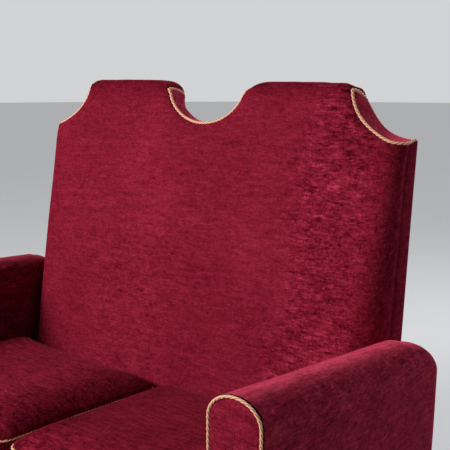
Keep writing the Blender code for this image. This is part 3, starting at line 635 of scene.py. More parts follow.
def add_trim(name, path, node, spacing, soften, radius=CORD_R, closed=True, body="settee"):
    """Three strands laid up into a round cord, as one lobed tube with a `twist` attribute."""
    points, total = resample(path, spacing * (1.0), closed)
    points = [Vector(p) for p in relax(points, closed, soften)]
    turns = max(1, round(total / (CORD_PITCH * 3)))
    sides = 12
    count = len(points)
    normal = None
    rows = []
    twist = []
    for i, p in enumerate(points):
        before = points[i - 1] if closed or i else points[0]
        after = points[(i + 1) % count] if closed or i < count - 1 else points[-1]
        tangent = (after - before).normalized()
        if normal is None:
            normal = tangent.orthogonal().normalized()
        normal = (normal - tangent * normal.dot(tangent)).normalized()
        across = tangent.cross(normal)
        phase = 2 * math.pi * turns * 3 * i / count
        row = []
        for k in range(sides):
            angle = 2 * math.pi * k / sides
            lobe = 0.90 + 0.12 * math.sin(phase + 3 * angle)
            spot = normal * math.cos(angle) + across * math.sin(angle)
            row.append(p + spot * radius * lobe)
            twist.append((phase, math.cos(angle), math.sin(angle)))
        rows.append(row)
    if closed:
        rows.append(rows[0])
        twist.extend([(2 * math.pi * turns * 3, c, s) for _, c, s in twist[:sides]])
    obj = grid_object(name, rows, wrap=True)
    layer = obj.data.attributes.new("twist", "FLOAT_VECTOR", "POINT")
    layer.data.foreach_set("vector", [c for t in twist for c in t])
    if not closed:
        with editing(obj) as bm:
            bmesh.ops.holes_fill(bm, edges=[e for e in bm.edges if e.is_boundary], sides=sides)
    link(obj, CORD, "gold_cord", node, body=body)


# ---------------------------------------------------------------- back: covers and board
# section of the front cover over a hump: (past the rear plane, below the rear edge), then
# (way from front to rear, share of the rear edge's drop), then (behind the face, below the crest)
CREST_REAR = ((0.002, 0.0035), (-0.001, 0.0022), (-0.006, 0.0010))
CREST_TOP = ((0.66, 0.7), (0.45, 0.4))
CREST_FRONT = ((0.0160, 0.0012), (0.0090, 0.0032), (0.0042, 0.0062), (0.0010, 0.0105))
CREST_END = 0.0160        # height at which the section meets the face
FACE_SHARES = [0.0, 0.004, 0.010, 0.018, 0.028, 0.040, 0.055, 0.072]
FACE_SHARES += spread(0.092, 1.0, int(80 * FINE))
REAR_SHARES = [0.0, 0.006, 0.016] + spread(0.035, 1.0, int(40 * FINE))


def pucker(x, z, edge):
    """Small gathers where the cover is drawn down to a seam."""
    return near(edge, 0.022) * bumps(0.0011, x * 58, z * 58, 3.1)


def unevenness(x, z):
    """Slow hollows and bulges of hand stuffing."""
    return bumps(0.0034, x * 3.1, z * 2.6, 7.7) + bumps(0.0010, x * 9.0, z * 8.0, 2.2)


def crest_section(i, soft):
    """The front cover's way over a hump, from the rear to the face, as (y, z)."""
    crest = OUTLINE[i][1]
    plane = face_plane_y(crest)
    rear = rear_plane_y(crest) - 0.0035
    drop = crest - rear_edge(i)[1]
    over = [(rear + back, crest - low - drop) for back, low in CREST_REAR]
    over += [(plane + (rear - plane) * way, crest - 0.0004 - drop * fall) for way, fall in CREST_TOP]
    return over + [(plane + back * soft, crest - low * soft) for back, low in CREST_FRONT]


def front_column(i):
    """One strip of the front cover, from the rear edge of a hump or the front cord to the hem."""
    x, z_edge = inset(i, SEAM_INSET)
    x = within_back(x)
    z_edge -= front_droop(x)
    k = abs(i - MIDDLE)
    on_hump = HUMP_FIRST <= k <= HUMP_LAST
    soft = 0.25 + 0.75 * smooth(min(k - HUMP_FIRST, HUMP_LAST - k) / 7)
    crest = OUTLINE[i][1]
    plane = face_plane_y(crest)
    depth = rear_plane_y(crest) - 0.0035 - plane
    tuck_y = face_plane_y(z_edge) + side_set_back(x, z_edge) + 0.005
    column = []
    for y, z in crest_section(i, soft):
        if on_hump:
            ripple = bumps(0.0006, x * 34 + 5.0, y * 34 + 8.5, -5.0)
            back_x = x + (rear_edge(i)[0] - x) * smooth((y - plane) / depth)
            column.append((back_x, y, z + ripple))
        else:
            column.append((x, tuck_y, z_edge - 0.004))
    z_start = crest - CREST_END * soft if on_hump else z_edge
    for share in FACE_SHARES:
        z = z_start + (SEAT_LINE_Z - z_start) * share
        edge = distance_to_outline(x, z)
        y = face_y(x, z) + pucker(x, z, edge) - unevenness(x, z) * roll(edge / 0.09)
        column.append((x, y, z))
    for z in (0.400, 0.375, 0.345, HEM_Z):
        column.append((x, face_y(x, z) + 0.10 * (SEAT_LINE_Z - z) ** 1.2, z))
    return column


def front_crush(co):
    """How ragged the pile is: most on the right, with a patch left of the middle."""
    drift = bumps(0.05, co.x * 3, co.z * 5, 1.5)
    low = smooth((1.0 - co.z) / 0.5)
    band = smooth((co.x + drift - 0.29 + 0.05 * low) / 0.14)
    edge = smooth((co.x - 0.50) / 0.06)
    patch = 0.22 * near(co.x + 0.15, 0.16) * smooth((0.95 - co.z) / 0.2)
    return 0.06 + 0.84 * band * (1 - 0.45 * edge) + patch


def front_painted_shading(co):
    """Painted light where the key light falls most and over the rolled right edge; painted shade at the
    top and the left edge.
    """
    top = 0.12 * smooth((co.z - 1.16) / 0.05) + 0.05 * smooth((co.z - 1.0) / 0.2)
    lit = (0.05 + 0.03 * smooth((0.8 - co.z) / 0.2)) * near(co.x - 0.37, 0.10)
    rolled = 0.13 * smooth((co.x - 0.54) / 0.04)
    return lit + rolled - top - 0.05 * smooth((-0.44 - co.x) / 0.14)


def build_back_front():
    picks = sorted({*range(0, len(OUTLINE), 1), len(OUTLINE) - 1})
    columns = [front_column(i) for i in picks]
    left, right = (
        [(x - sign * 0.0030, y + 0.0015, z) for x, y, z in column]
        for sign, column in ((-1, columns[0]), (1, columns[-1]))
    )
    obj = grid_object("back_front_velvet", list(zip(left, *columns, right)))
    weld(obj, 0.00002)
    # turned: painted shade towards the right edge, where the back turns from the key light
    paint(obj, crush=front_crush, turned=lambda co: 0.62 * smooth((co.x - 0.46) / 0.14), nap=front_painted_shading)
    link(obj, VELVET_BACK, "velvet", "back_cover_front", "back_pad")


def build_back_rear():
    def spot(share, top):
        x, z_edge = top
        z = z_edge + (REAR_HEM_Z - z_edge) * share
        edge = min(distance_to_outline(x, z), BACK_HALF_W - abs(x), z - REAR_HEM_Z + 0.0005)
        puff = 0.0070 * roll(edge / 0.030) - 0.0035
        drift = bumps(0.0012, x * 4, z * 4, 9.0) * roll(edge / 0.1)
        return x, rear_plane_y(z) + puff + drift, z

    obj = sheet("back_rear_velvet", REAR_SHARES, rear_profile(SEAM_INSET), spot)
    paint(obj, crush=0.15)
    link(obj, VELVET_BACK, "velvet", "back_cover_rear")


def build_top_board():
    """The plywood board inside the top of the back, its dip chamfered for the rolled lining."""
    low_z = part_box("back_top_board")[0].z + 0.001
    rim = [(within_back(x, BOARD_END_GAP), z) for x, z in rear_profile(BOARD_INSET, 1.15)]
    rim = [p for p, q in zip(rim, rim[1:]) if q[0] - p[0] > 0.0001] + [rim[-1]]
    rings = []
    for depth in BOARD_DEPTHS:
        top = [(x, rear_plane_y(z) - depth, z) for x, z in rim]
        bottom = [(x, rear_plane_y(low_z) - depth, low_z) for x, _ in rim]
        rings.append(top + bottom[::-1])
    obj = grid_object("back_top_plywood", rings, wrap=True)
    around = 2 * len(rim)
    with editing(obj) as bm:
        bm.verts.ensure_lookup_table()
        for start in (0, around):
            for c in range(len(rim) - 1):
                far = start + around - 1 - c
                bm.faces.new([bm.verts[v] for v in (start + c, start + c + 1, far - 1, far)])
        bmesh.ops.recalc_face_normals(bm, faces=bm.faces)
    link(obj, PLY, "plywood", "back_top_board", smooth_shade=False)


# ---------------------------------------------------------------- back: bands and cords
LINING_SHARES = (0.0, 0.05, 0.14, 0.3, 0.45, 0.6, 0.7, 0.78, 0.85, 0.91, 0.96, 1.0)
BAND_SHARES = (0.0, 0.03, 0.08, 0.2, 0.4, 0.6, 0.8, 0.92, 0.97, 1.0)


def lining_point(i, share, lift=0.0):
    """A spot on a lining: outline index, way from the front to the rear, height off the cloth."""
    x, z = inset(i, SEAM_INSET)
    out_x, out_z = NORMALS[i]
    back_x, back_z = rear_edge(i, SEAM_INSET)
    x = within_back(x + (back_x - x) * smooth(share), 0.002)
    front = face_plane_y(z) + side_set_back(OUTLINE[i][0], z) + 0.001
    rear = rear_plane_y(z) - 0.001
    z += (back_z - z) * smooth(share) - front_droop(x) * (1 - share)
    y = front + (rear - front) * share
    reach = (1 - share) * (rear - front)
    rolled = max(rear_roll(i), 0.001)
    arch = math.sin(math.pi * share)
    off = lift + 0.0016 * arch - rolled * (1 - roll(reach / (rolled * 1.6)))
    off += bumps(0.0006, x * 40, y * 40, 4.4) * arch
    if DIP_LAST < abs(i - MIDDLE) < CORNER_FIRST:
        off -= 0.002 + 0.006 * (1 - roll(share / 0.25))
    return Vector((x + out_x * off, y, z + out_z * off))


def band_strip(indices, side):
    """The cloth lining a scallop, from its front cord to where it rolls over the rear edge."""
    obj = sheet(f"scallop_lining_{side}", LINING_SHARES, indices, lambda share, i: lining_point(i, share))
    # painted light: the linings are painted lighter all over, as lit from above
    paint(obj, crush=0.3, nap=0.30)
    link(obj, VELVET_BAND, "velvet_band", f"scallop_band_{side}")


def front_cord(indices):
    path = []
    for i in indices:
        x, z = OUTLINE[i]
        x = within_back(x, CORD_R)
        path.append((x, face_plane_y(z) + side_set_back(x, z) + 0.0006, z - front_droop(x)))
    return path


def rear_cord(indices):
    spots = [rear_edge(i, rear_roll(i) + REAR_CORD_DROP) for i in indices]
    return [(within_back(x, CORD_R), rear_plane_y(z), z) for x, z in spots]


def crossing(first, towards_hump, slide):
    """A cord's way from front to rear over the end of a lining, arching and then sliding down it."""
    steps = 14
    path = []
    for step in range(1, steps):
        share = step / steps
        place = first + towards_hump * (0.3 * math.sin(math.pi * share) - slide * share ** 1.8)
        low = math.floor(place)
        lift = 0.0018 - 0.0055 * share ** 3
        path.append(lining_point(low, share, lift).lerp(lining_point(low + 1, share, lift), place - low))
    return path


def build_scallops():
    look = {"spacing": 0.0011, "soften": 14, "radius": SCALLOP_CORD_R}
    band_strip([MIDDLE + k for k in range(-DIP_LAST - 2, DIP_LAST + 3)], "centre")
    ends = range(MIDDLE - DIP_LAST, MIDDLE + DIP_LAST + 1)
    loop = front_cord(ends) + crossing(ends[-1], 1, DIP_SLIDE)
    loop += rear_cord(ends[DIP_SLIDE + 1 : -DIP_SLIDE - 1][::-1])
    loop += crossing(ends[0], -1, DIP_SLIDE)[::-1]
    add_trim("scallop_trim_centre", loop, "scallop_cord_centre", **look)
    for side, sign in SIDES:
        indices = [MIDDLE + sign * k for k in range(CORNER_FIRST - 2, len(HALF))]
        band_strip(indices[::sign], side)
        x = sign * (BACK_HALF_W - CORD_R)
        front = face_plane_y(SHOULDER_Z) + side_wrap(SHOULDER_Z)
        rear = rear_plane_y(SHOULDER_Z) - CORD_R
        turn = [
            (x, front + (rear - front) * t, SHOULDER_Z - front_droop(x) * (1 - t))
            for t in (0.15, 0.4, 0.6, 0.85)
        ]
        loop = front_cord(indices[2:]) + turn + rear_cord(indices[:CORNER_SLIDE + 2:-1])
        loop += crossing(indices[2], -sign, CORNER_SLIDE)[::-1]
        add_trim(f"scallop_trim_{side}", loop, f"scallop_cord_{side}", **look)


def build_side_bands():
    for side, sign in SIDES:
        def spot(down, share):
            z = SHOULDER_Z - 0.0035 + (BAND_HEM_Z - SHOULDER_Z) * down
            z -= FRONT_DROOP * (1 - share) * smooth(1 - 12 * down)
            front = face_plane_y(max(z, SEAT_LINE_Z)) + side_wrap(z) + 0.0016
            front = max(front, RAIL_REAR_Y + 0.003)
            rear = rear_plane_y(z) + 0.0008
            y = front + (rear - front) * share
            reach = min(share, 1 - share) * (rear - front)
            puff = (0.0030 + 0.0030 * smooth((1.0 - z) / 0.5)) * roll(reach / 0.012) - 0.0008
            slack = bumps(0.0009, y * 30, z * 7, 11.0 * sign) * roll(reach / 0.02)
            return sign * (BACK_HALF_W + 0.0004 + puff + slack), y, z

        obj = sheet(f"back_side_velvet_{side}", spread(0, 1, int(60 * FINE)), BAND_SHARES, spot)
        paint(obj, crush=0.1)
        link(obj, VELVET_SHADED_SIDE, "velvet_band", f"back_side_band_{side}")


def build_rear_corners():
    """Velvet over the end of the back rail, between the back and each arm."""
    low_z = SKIRT_Z + 0.003
    start_x = BACK_HALF_W - 0.010
    for side, sign in SIDES:
        obj = sheet(
            f"rear_corner_velvet_{side}",
            spread(low_z, low_z + REAR_CORNER_TOP_Z - SKIRT_Z, 12),
            spread(start_x, ARM_IN_X + 0.030, 12),
            lambda z, x: (
                sign * x, RAIL_REAR_Y + 0.0022 + bumps(0.0006, x * 30 + 3.0, z * 30 + 5.1, -3.0), z
            ),
        )
        paint(obj, crush=0.2)
        link(obj, VELVET_SHADED_SIDE, "velvet")


# ---------------------------------------------------------------- arms
ARM_TURNS = (8, 17, 26, 35, 44, 52, 60, 67, 73, 78, 82, 86, 90)     # degrees round the rear end
PANEL_RINGS = (0.0030, 0.0036, 0.006, 0.010, 0.016, 0.024, 0.034, 0.046, 0.0585)


def arm_section(y, sign, rear_z, hem_in, hem_out, lower=0.0):
    """Points from the inner hem, over the rounded top, to the outer hem."""
    centre = ARM_IN_X + ARM_HALF_W
    fall = (y - ARM_FRONT_Y) / (ARM_REAR_Y - ARM_FRONT_Y)
    spring = ARM_TOP_FRONT_Z + (rear_z - ARM_TOP_FRONT_Z) * fall - lower - ARM_ROUND
    points = [(ARM_IN_X, z) for z in spread(hem_in, spring, 14)[:-1]]
    for angle in spread(0, math.pi, 28):
        points.append((centre - ARM_HALF_W * math.cos(angle), spring + ARM_ROUND * math.sin(angle)))
    points += [(ARM_OUT_X, z) for z in spread(hem_out, spring, 14)[-2::-1]]
    return [(sign * x, z) for x, z in points]


def arm_rows(sign, centre, rear_z, roll_length, drop_depth):
    """Bare rows of points from the front of an arm to where its rounded rear end closes."""
    rows = []
    middle_y = rear_plane_y(ARM_MIDDLE_Z)
    end = middle_y - ARM_REAR_SET_IN - roll_length
    for y in spread(ARM_FRONT_Y + 0.002, end, int(56 * FINE)):
        lean = smooth((y - (end - 0.20)) / 0.20)
        section = arm_section(y, sign, rear_z, ARM_INNER_HEM_Z, SKIRT_Z)
        rows.append([(x, y + (rear_plane_y(z) - middle_y) * lean, z) for x, z in section])
    for angle in ARM_TURNS:
        turn = math.radians(angle)
        short = roll_length * (1 - math.sin(turn))
        narrow = 1 - 0.45 * (1 - roll(short / 0.022))
        drop = drop_depth * (1 - math.cos(turn)) ** 1.1
        hem = SKIRT_Z if angle > 80 else ARM_INNER_HEM_Z
        rows.append([
            (centre + (x - centre) * narrow, rear_plane_y(z) - ARM_REAR_SET_IN - short, z)
            for x, z in arm_section(ARM_REAR_Y, sign, rear_z, hem, SKIRT_Z, lower=drop)
        ])
    rows.append([(centre, y, z) for _, y, z in rows[-1]])
    return rows


def build_arm(side, sign):
    centre = sign * (ARM_IN_X + ARM_HALF_W)
    rear_z = ARM_REAR[side][0]
    flank_top = rear_z - 0.06

    def stuffed(x, y, z):
        soft = bumps(0.0024, x * 9, y * 5, z * 7 + 20 * sign)
        drape = bumps(0.0008, x * 30, y * 16, z * 12 + 3)
        out = (x - centre) / ARM_HALF_W
        swelling = 0.0
        if z < flank_top:
            height = (z - SKIRT_Z) / (flank_top - SKIRT_Z)
            swelling = 0.0035 * math.sin(math.pi * max(0.0, min(1.0, height)))
            if out * sign < 0:
                swelling *= 0.3
        x += math.copysign(swelling, out) + soft * 0.5 * out
        return x, y, z + (soft + drape) * max(0.0, 1 - abs(out))

    rows = arm_rows(sign, centre, *ARM_REAR[side])
    obj = grid_object(f"arm_velvet_{side}", [[stuffed(*p) for p in row] for row in rows])
    weld(obj)

    # painted shading: a streaky painted highlight along the inner top of the right arm, where the key
    # light grazes it, over the arm's own painted shade or light
    def nap(co):
        inner = smooth((centre - co.x + 0.054) / 0.088) * smooth((co.z - 0.60) / 0.05)
        streak = bumps(0.16, co.x * 26, co.y * 10, co.z * 26)
        return ARM_PAINTED_SHADING[side] + (0.40 + streak) * inner

    paint(
        obj, crush=lambda co: 0.25 + 0.4 * max(0.0, noise.noise(co * 7)),
        nap=nap if side == "right" else ARM_PAINTED_SHADING[side],
    )
    link(obj, VELVET_ARM, "velvet", f"arm_cover_{side}", f"arm_pad_{side}")

    outline = arm_section(ARM_FRONT_Y, sign, rear_z, SKIRT_Z + 0.001, SKIRT_Z + 0.001)
    middle_z = (SKIRT_Z + ARM_TOP_FRONT_Z) / 2

    def panel_spot(depth, corner):
        x = centre + (corner[0] - centre) * (1 - depth / ARM_HALF_W)
        z = middle_z + (corner[1] - middle_z) * (1 - depth / (ARM_TOP_FRONT_Z - middle_z))
        bulge = 0.0075 * roll((depth - PANEL_RINGS[0]) / 0.045)
        dimple = bumps(0.0010, x * 22, z * 10, 6.0) * min(1.0, depth / 0.02)
        return x, ARM_FRONT_Y - 0.0005 - bulge + dimple, z

    rings = [[panel_spot(depth, corner) for corner in outline] for depth in PANEL_RINGS]
    panel = grid_object(f"arm_front_velvet_{side}", rings, wrap=True)
    weld(panel)
    paint(panel, crush=0.15)
    link(panel, VELVET_PANEL, "velvet", f"arm_panel_{side}")

    node = f"arm_panel_cord_{side}"
    trim_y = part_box(node)[0].y + CORD_R + 0.004
    hem = SKIRT_Z + 0.004
    path = [
        (centre + (x - centre) * 0.965, trim_y, z - (0.0025 if z > 0.6 else 0.0))
        for x, z in arm_section(ARM_FRONT_Y, sign, rear_z, hem, hem)
    ]
    add_trim(f"arm_front_trim_{side}", path, node, spacing=0.0022, soften=4, closed=False)


# ---------------------------------------------------------------- front border, deck, dust cover
BORDER_SHARES = (0.0, 0.02, 0.05, 0.10, 0.2, 0.35, 0.5, 0.65, 0.8, 0.9, 0.95, 1.0)


def deck_z(y):
    share = (y - DECK_LOW.y) / (DECK_HIGH.y - DECK_LOW.y)
    return DECK_HIGH.z + (DECK_LOW.z + 0.0015 - DECK_HIGH.z) * share


def build_border():
    low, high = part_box("front_border")

    def spot(share, x):
        z = high.z + (low.z - high.z) * share
        roll_over = 0.0125 * roll(share / 0.10)
        belly = 0.0045 * math.sin(math.pi * share)
        hem = 0.003 * smooth((share - 0.93) / 0.07)
        slack = bumps(0.0016, x * 6, z * 14, 1.0)
        gather = bumps(0.0006, x * 45, z * 8, 1.0) * (1 - share)
        return x, high.y - roll_over - belly + hem + (slack + gather) * share * 2, z

    obj = sheet("front_border_velvet", BORDER_SHARES, spread(low.x, high.x, int(120 * FINE)), spot)
    paint(obj, crush=0.2)
    link(obj, VELVET_SEAT, "velvet", "front_border")


def build_deck():
    half_width = ARM_IN_X - 0.0010
    deck = sheet(
        "deck_cotton_sheet",
        spread(DECK_LOW.y, DECK_HIGH.y + DECK_TUCK, 24),
        spread(-half_width, half_width, 60),
        lambda y, x: (x, y, deck_z(y) + bumps(0.0005, x * 5, y * 5, 0.0) - 0.0006),
    )
    link(deck, DECK_COTTON, "deck_cotton", "deck_cloth")

    low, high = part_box("dust_cover")

    def spot(y, x):
        edge = min(x - low.x, high.x - x, y - low.y, high.y - y)
        sag = 0.004 * roll(edge / 0.25) + bumps(0.0006, x * 8, y * 8, 2)
        return x, y, low.z + 0.001 - sag

    dust = sheet("dust_cambric", spread(low.y, high.y, 24), spread(low.x, high.x, 48), spot)
    link(dust, CAMBRIC, "black_cambric", "dust_cover")


# ---------------------------------------------------------------- loose cushions
# closed form before it is puffed up: (height above the low seam, share of the full outline)
CUSHION_LEVELS = (
    (-0.0050, 0.90), (-0.0035, 0.965), (0.0, 1.0), (0.03, 0.992), (0.06, 0.990), (0.09, 0.992),
    (SEAM_H, 1.0), (SEAM_H + 0.008, 0.965), (SEAM_H + 0.016, 0.90), (SEAM_H + 0.023, 0.78),
    (SEAM_H + 0.028, 0.55), (SEAM_H + 0.030, 0.25),
)


def cushion_plan():
    """Rounded rectangle with its sides drawn in, about the cushion centre."""
    points = []
    for qx, qy, start in ((1, 1, 0), (-1, 1, 90), (-1, -1, 180), (1, -1, 270)):
        for angle in spread(math.radians(start), math.radians(start + 90), 10):
            points.append((
                qx * (CUSHION_HALF_W - CUSHION_CORNER_R) + CUSHION_CORNER_R * math.cos(angle),
                qy * (CUSHION_HALF_D - CUSHION_CORNER_R) + CUSHION_CORNER_R * math.sin(angle),
            ))
    filled = []
    for (ax, ay), (bx, by) in zip(points, points[1:] + points[:1]):
        steps = max(1, int(math.hypot(bx - ax, by - ay) / 0.03))
        filled.extend((ax + (bx - ax) * k / steps, ay + (by - ay) * k / steps) for k in range(steps))
    drawn = []
    for x, y in filled:
        u, v = abs(x / CUSHION_HALF_W), abs(y / CUSHION_HALF_D)
        pull_x = SEAM_PULL * max(0.0, 1 - v ** 2) * u ** 6
        pull_y = SEAM_PULL * max(0.0, 1 - u ** 2) * v ** 6
        drawn.append((x - math.copysign(pull_x, x), y - math.copysign(pull_y, y)))
    return drawn


def cushion_start(outline):
    """A plump closed form, a little under the finished size, about the low seam's centre."""
    bm = bmesh.new()
    rings = [
        [bm.verts.new((x * scale, y * scale, height - y * DECK_SLOPE)) for x, y in outline]
        for height, scale in CUSHION_LEVELS
    ]
    for lower, upper in zip(rings, rings[1:]):
        for i in range(len(outline)):
            j = (i + 1) % len(outline)
            bm.faces.new((lower[i], lower[j], upper[j], upper[i]))
    bm.faces.new(rings[0][::-1])
    bm.faces.new(rings[-1])
    obj = object_from(bm, "cushion_start")
    bpy.context.scene.collection.objects.link(obj)
    return obj


def puff_up(obj, voxel):
    """Inflate a closed mesh with cloth, its seams and its resting face held."""
    remesh = obj.modifiers.new("voxels", "REMESH")
    remesh.mode = "VOXEL"
    remesh.voxel_size = voxel
    obj.data = fresh = evaluated_mesh(obj)
    start = np.array([v.co for v in fresh.vertices])
    group = obj.vertex_groups.new(name="held")
    for v in fresh.vertices:
        height = v.co.z + v.co.y * DECK_SLOPE
        rim = max(abs(v.co.x) / CUSHION_HALF_W, abs(v.co.y) / CUSHION_HALF_D)
        if rim > 0.965 and min(abs(height), abs(height - SEAM_H)) < 0.006:
            group.add([v.index], 1.0, "REPLACE")
        elif height < -0.001:
            group.add([v.index], 0.8, "REPLACE")
    cloth = obj.modifiers.new("cloth", "CLOTH")
    for name, value in {
        "quality": 5,
        "mass": 0.25,
        "tension_stiffness": 12,
        "compression_stiffness": 12,
        "bending_stiffness": 1.5,
        "use_pressure": True,
        "uniform_pressure_force": 4.0,
        "vertex_group_mass": "held",
    }.items():
        setattr(cloth.settings, name, value)
    cloth.settings.effector_weights.gravity = 0.0
    cloth.collision_settings.use_collision = False
    cloth.point_cache.frame_start = 1
    cloth.point_cache.frame_end = PUFF_FRAMES
    scene = bpy.context.scene
    for step in range(1, PUFF_FRAMES + 1):
        scene.frame_set(step)
    move = np.array([v.co for v in evaluated_mesh(obj).vertices]) - start
    scene.frame_set(1)
    length = np.linalg.norm(move, axis=1)
    limit = np.minimum(1.0, PUFF_LIMIT / np.maximum(length, 1e-9))
    return fresh, start + move * limit[:, None]


def inflated_cushion():
    """One simulated cushion; both loose cushions are cut to the same pattern."""
    outline = cushion_plan()
    obj = cushion_start(outline)
    mesh, points = puff_up(obj, 0.0060)
    mesh = mesh.copy()
    bpy.data.objects.remove(obj)
    return mesh, points, outline


def crown(u, v):
    """Share of the crown's height across a cushion; u grows outwards, v to the rear."""
    fuller = 1 + 0.55 * smooth(u) * smooth(v)
    return fuller * max(0.0, 1 - abs(u) ** 9) * max(0.0, 1 - abs(v) ** 9)


def shape_cushion(px, py, pz, sign):
    """Place one point of the puffed-up pattern on a seat, with its crown, folds and filled corner."""
    cx, cy = sign * CUSHION_CX, CUSHION_CY
    u, v = px / CUSHION_HALF_W, py / CUSHION_HALF_D
    height = pz + py * DECK_SLOPE
    if height > SEAM_H + 0.001:
        full = SEAM_H + 0.005 + CROWN_RISE * crown(u * sign, v)
        height = 0.35 * height + 0.65 * max(full, height * 0.9)
        dents = bumps(0.0030, px * 7 + 4 * sign, py * 7, 4.0)
        folds = bumps(0.0012, px * 22, py * 15 + 6 * sign, 8.0)
        height += (dents + folds) * crown(u, v)
    x, y, z = cx + px, cy + py, SEAM_LOW + height - py * DECK_SLOPE
    if 0.012 < height < SEAM_H - 0.012:
        slack = 0.0035 * math.sin(math.pi * height / SEAM_H) + bumps(0.0014, x * 20, y * 20, z * 8)
        if abs(u) > 0.93:
            x += math.copysign(slack * 0.4, px)
        if abs(v) > 0.93:
            y += math.copysign(slack, py)
    z += near(height - SEAM_H - 0.012, 0.010) * bumps(0.0014, x * 46, y * 46, 2.0)
    corner = smooth((abs(px) - 0.17) / 0.10) if px * sign > 0 else 0.0
    y += CORNER_FILL * corner * smooth((py - 0.12) / 0.12)
    x = max(cx - CUSHION_REACH_X, min(cx + CUSHION_REACH_X, x))
    y = min(y, face_y(x, max(z, SEAT_LINE_Z)) - 0.004)
    z = max(z, deck_z(min(y, DECK_HIGH.y)) + 0.0025)
    zip_gap = abs(z - (ZIP_LOW.z + ZIP_HIGH.z) / 2)
    if y > ZIP_HIGH.y - 0.012 and zip_gap < 0.030:
        y = min(y, ZIP_LOW.y + 0.0012 + 0.012 * smooth((zip_gap - 0.008) / 0.022))
    return x, y, z


def seam_loops(obj, outline, sign):
    """Where the two seams run over a shaped cushion."""
    cx, cy = sign * CUSHION_CX, CUSHION_CY
    tree = BVHTree.FromObject(obj, bpy.context.evaluated_depsgraph_get())
    seams = {}
    for level, height in (("top", SEAM_H), ("bottom", 0.0)):
        loop = seams[level] = []
        for ox, oy in outline:
            ox *= sign
            z = SEAM_LOW + height - oy * DECK_SLOPE
            origin = Vector((cx + ox * 0.6, cy + oy * 0.6, z))
            aim = Vector((cx + ox, cy + oy, z)) - origin
            hit = tree.ray_cast(origin, aim.normalized())[0]
            spot = origin + aim if hit is None else hit
            loop.append(spot + aim.normalized() * 0.0008)
    return seams


def draw_in(obj, seams):
    """Pull the cover in along its seams."""
    spots = [
        a.lerp(b, share)
        for loop in seams.values()
        for a, b in zip(loop, loop[1:] + loop[:1])
        for share in (0.0, 1 / 3, 2 / 3)
    ]
    line = KDTree(len(spots))
    for index, spot in enumerate(spots):
        line.insert(spot, index)
    line.balance()
    with editing(obj) as bm:
        bm.normal_update()
        for v in bm.verts:
            gap = line.find(v.co)[2]
            if gap < 0.016:
                v.co -= v.normal * 0.0034 * near(gap, 0.007)


def build_cushion(side, sign, pattern):
    body = f"cushion_{side}"
    mesh, points, outline = pattern
    obj = bpy.data.objects.new(f"cushion_velvet_{side}", mesh.copy())
    obj.data.name = obj.name
    bpy.context.scene.collection.objects.link(obj)
    for vertex, (px, py, pz) in zip(obj.data.vertices, points):
        vertex.co = shape_cushion(px * sign, py, pz, sign)
    obj.data.update()
    seams = seam_loops(obj, outline, sign)
    draw_in(obj, seams)
    subdivide = obj.modifiers.new("smooth", "SUBSURF")
    subdivide.levels = subdivide.render_levels = 1
    obj.data = evaluated_mesh(obj)
    cx = sign * CUSHION_CX
    # painted shade: the cushions slightly darker all over, and more towards the middle of the settee
    # where the crown turns from the light
    paint(
        obj, crush=lambda co: 0.15 + 0.5 * max(0.0, noise.noise(co * 5)),
        nap=lambda co: -0.05 - 0.16 * smooth((sign * (cx - co.x) - 0.10) / 0.16),
    )
    link(obj, VELVET_SEAT, "velvet", f"seat_cover_{side}", f"seat_foam_{side}", body=body)
    for level, loop in seams.items():
        name, node = f"cushion_trim_{level}_{side}", f"seat_cord_{level}_{side}"
        add_trim(name, loop, node, spacing=0.0026, soften=5, body=body)


# ---------------------------------------------------------------- legs, zips and frame
# turned profile between the ends of a front leg: (radius, height)
LEG_PROFILE = (
    (0.0270, 0.1520), (0.0262, 0.1500), (0.0218, 0.1480), (0.0208, 0.1455), (0.0204, 0.1425),
    (0.0207, 0.1395), (0.0225, 0.1375), (0.0248, 0.1355), (0.0258, 0.1325), (0.0256, 0.1290),
    (0.0240, 0.1265), (0.0212, 0.1245), (0.0204, 0.1215), (0.0214, 0.1165), (0.0230, 0.1090),
    (0.0237, 0.1000), (0.0236, 0.0900), (0.0226, 0.0780), (0.0208, 0.0640), (0.0186, 0.0500),
    (0.0165, 0.0380), (0.0147, 0.0280), (0.0139, 0.0235), (0.0142, 0.0205), (0.0160, 0.0180),
    (0.0172, 0.0155), (0.0174, 0.0120),
)
# ridges and groove along the middle of a zip tape: (height, set-in from its face)
TAPE_STEPS = ((0.0022, 0.0002), (0.0, 0.0008), (-0.0022, 0.0002))
TOOTH_PITCH = 0.0032
TOOTH_SIZE = (0.0014, 0.0010, 0.0034)
# blocks of a zip slider: (size, offset from its centre)
SLIDER_BLOCKS = (
    ((0.0110, 0.0012, 0.0072), (0.0, -0.0010, 0.0)),
    ((0.0060, 0.0016, 0.0030), (0.0, 0.0003, 0.0)),
    ((0.0090, 0.0008, 0.0046), (0.0005, 0.0012, 0.0)),
)


def build_front_leg(side):
    low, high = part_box(f"leg_front_{side}")
    centre = (low + high) / 2
    top = ((0.0, high.z), (0.0262, high.z), (0.0270, high.z - 0.0010))
    foot = ((0.0168, low.z + 0.0025), (0.0150, low.z), (0.0, low.z))
    turns = [2 * math.pi * k / 40 for k in range(40)]
    rows = [
        [(centre.x + radius * math.cos(a), centre.y + radius * math.sin(a), z) for a in turns]
        for radius, z in top + LEG_PROFILE + foot
    ]
    obj = grid_object(f"turned_leg_{side}", rows, wrap=True)
    weld(obj)
    link(obj, MAHOGANY, "mahogany", f"leg_front_{side}")


def add_block(bm, size, place):
    verts = bmesh.ops.create_cube(bm, size=1.0)["verts"]
    bmesh.ops.scale(bm, vec=size, verts=verts)
    bmesh.ops.translate(bm, vec=place, verts=verts)


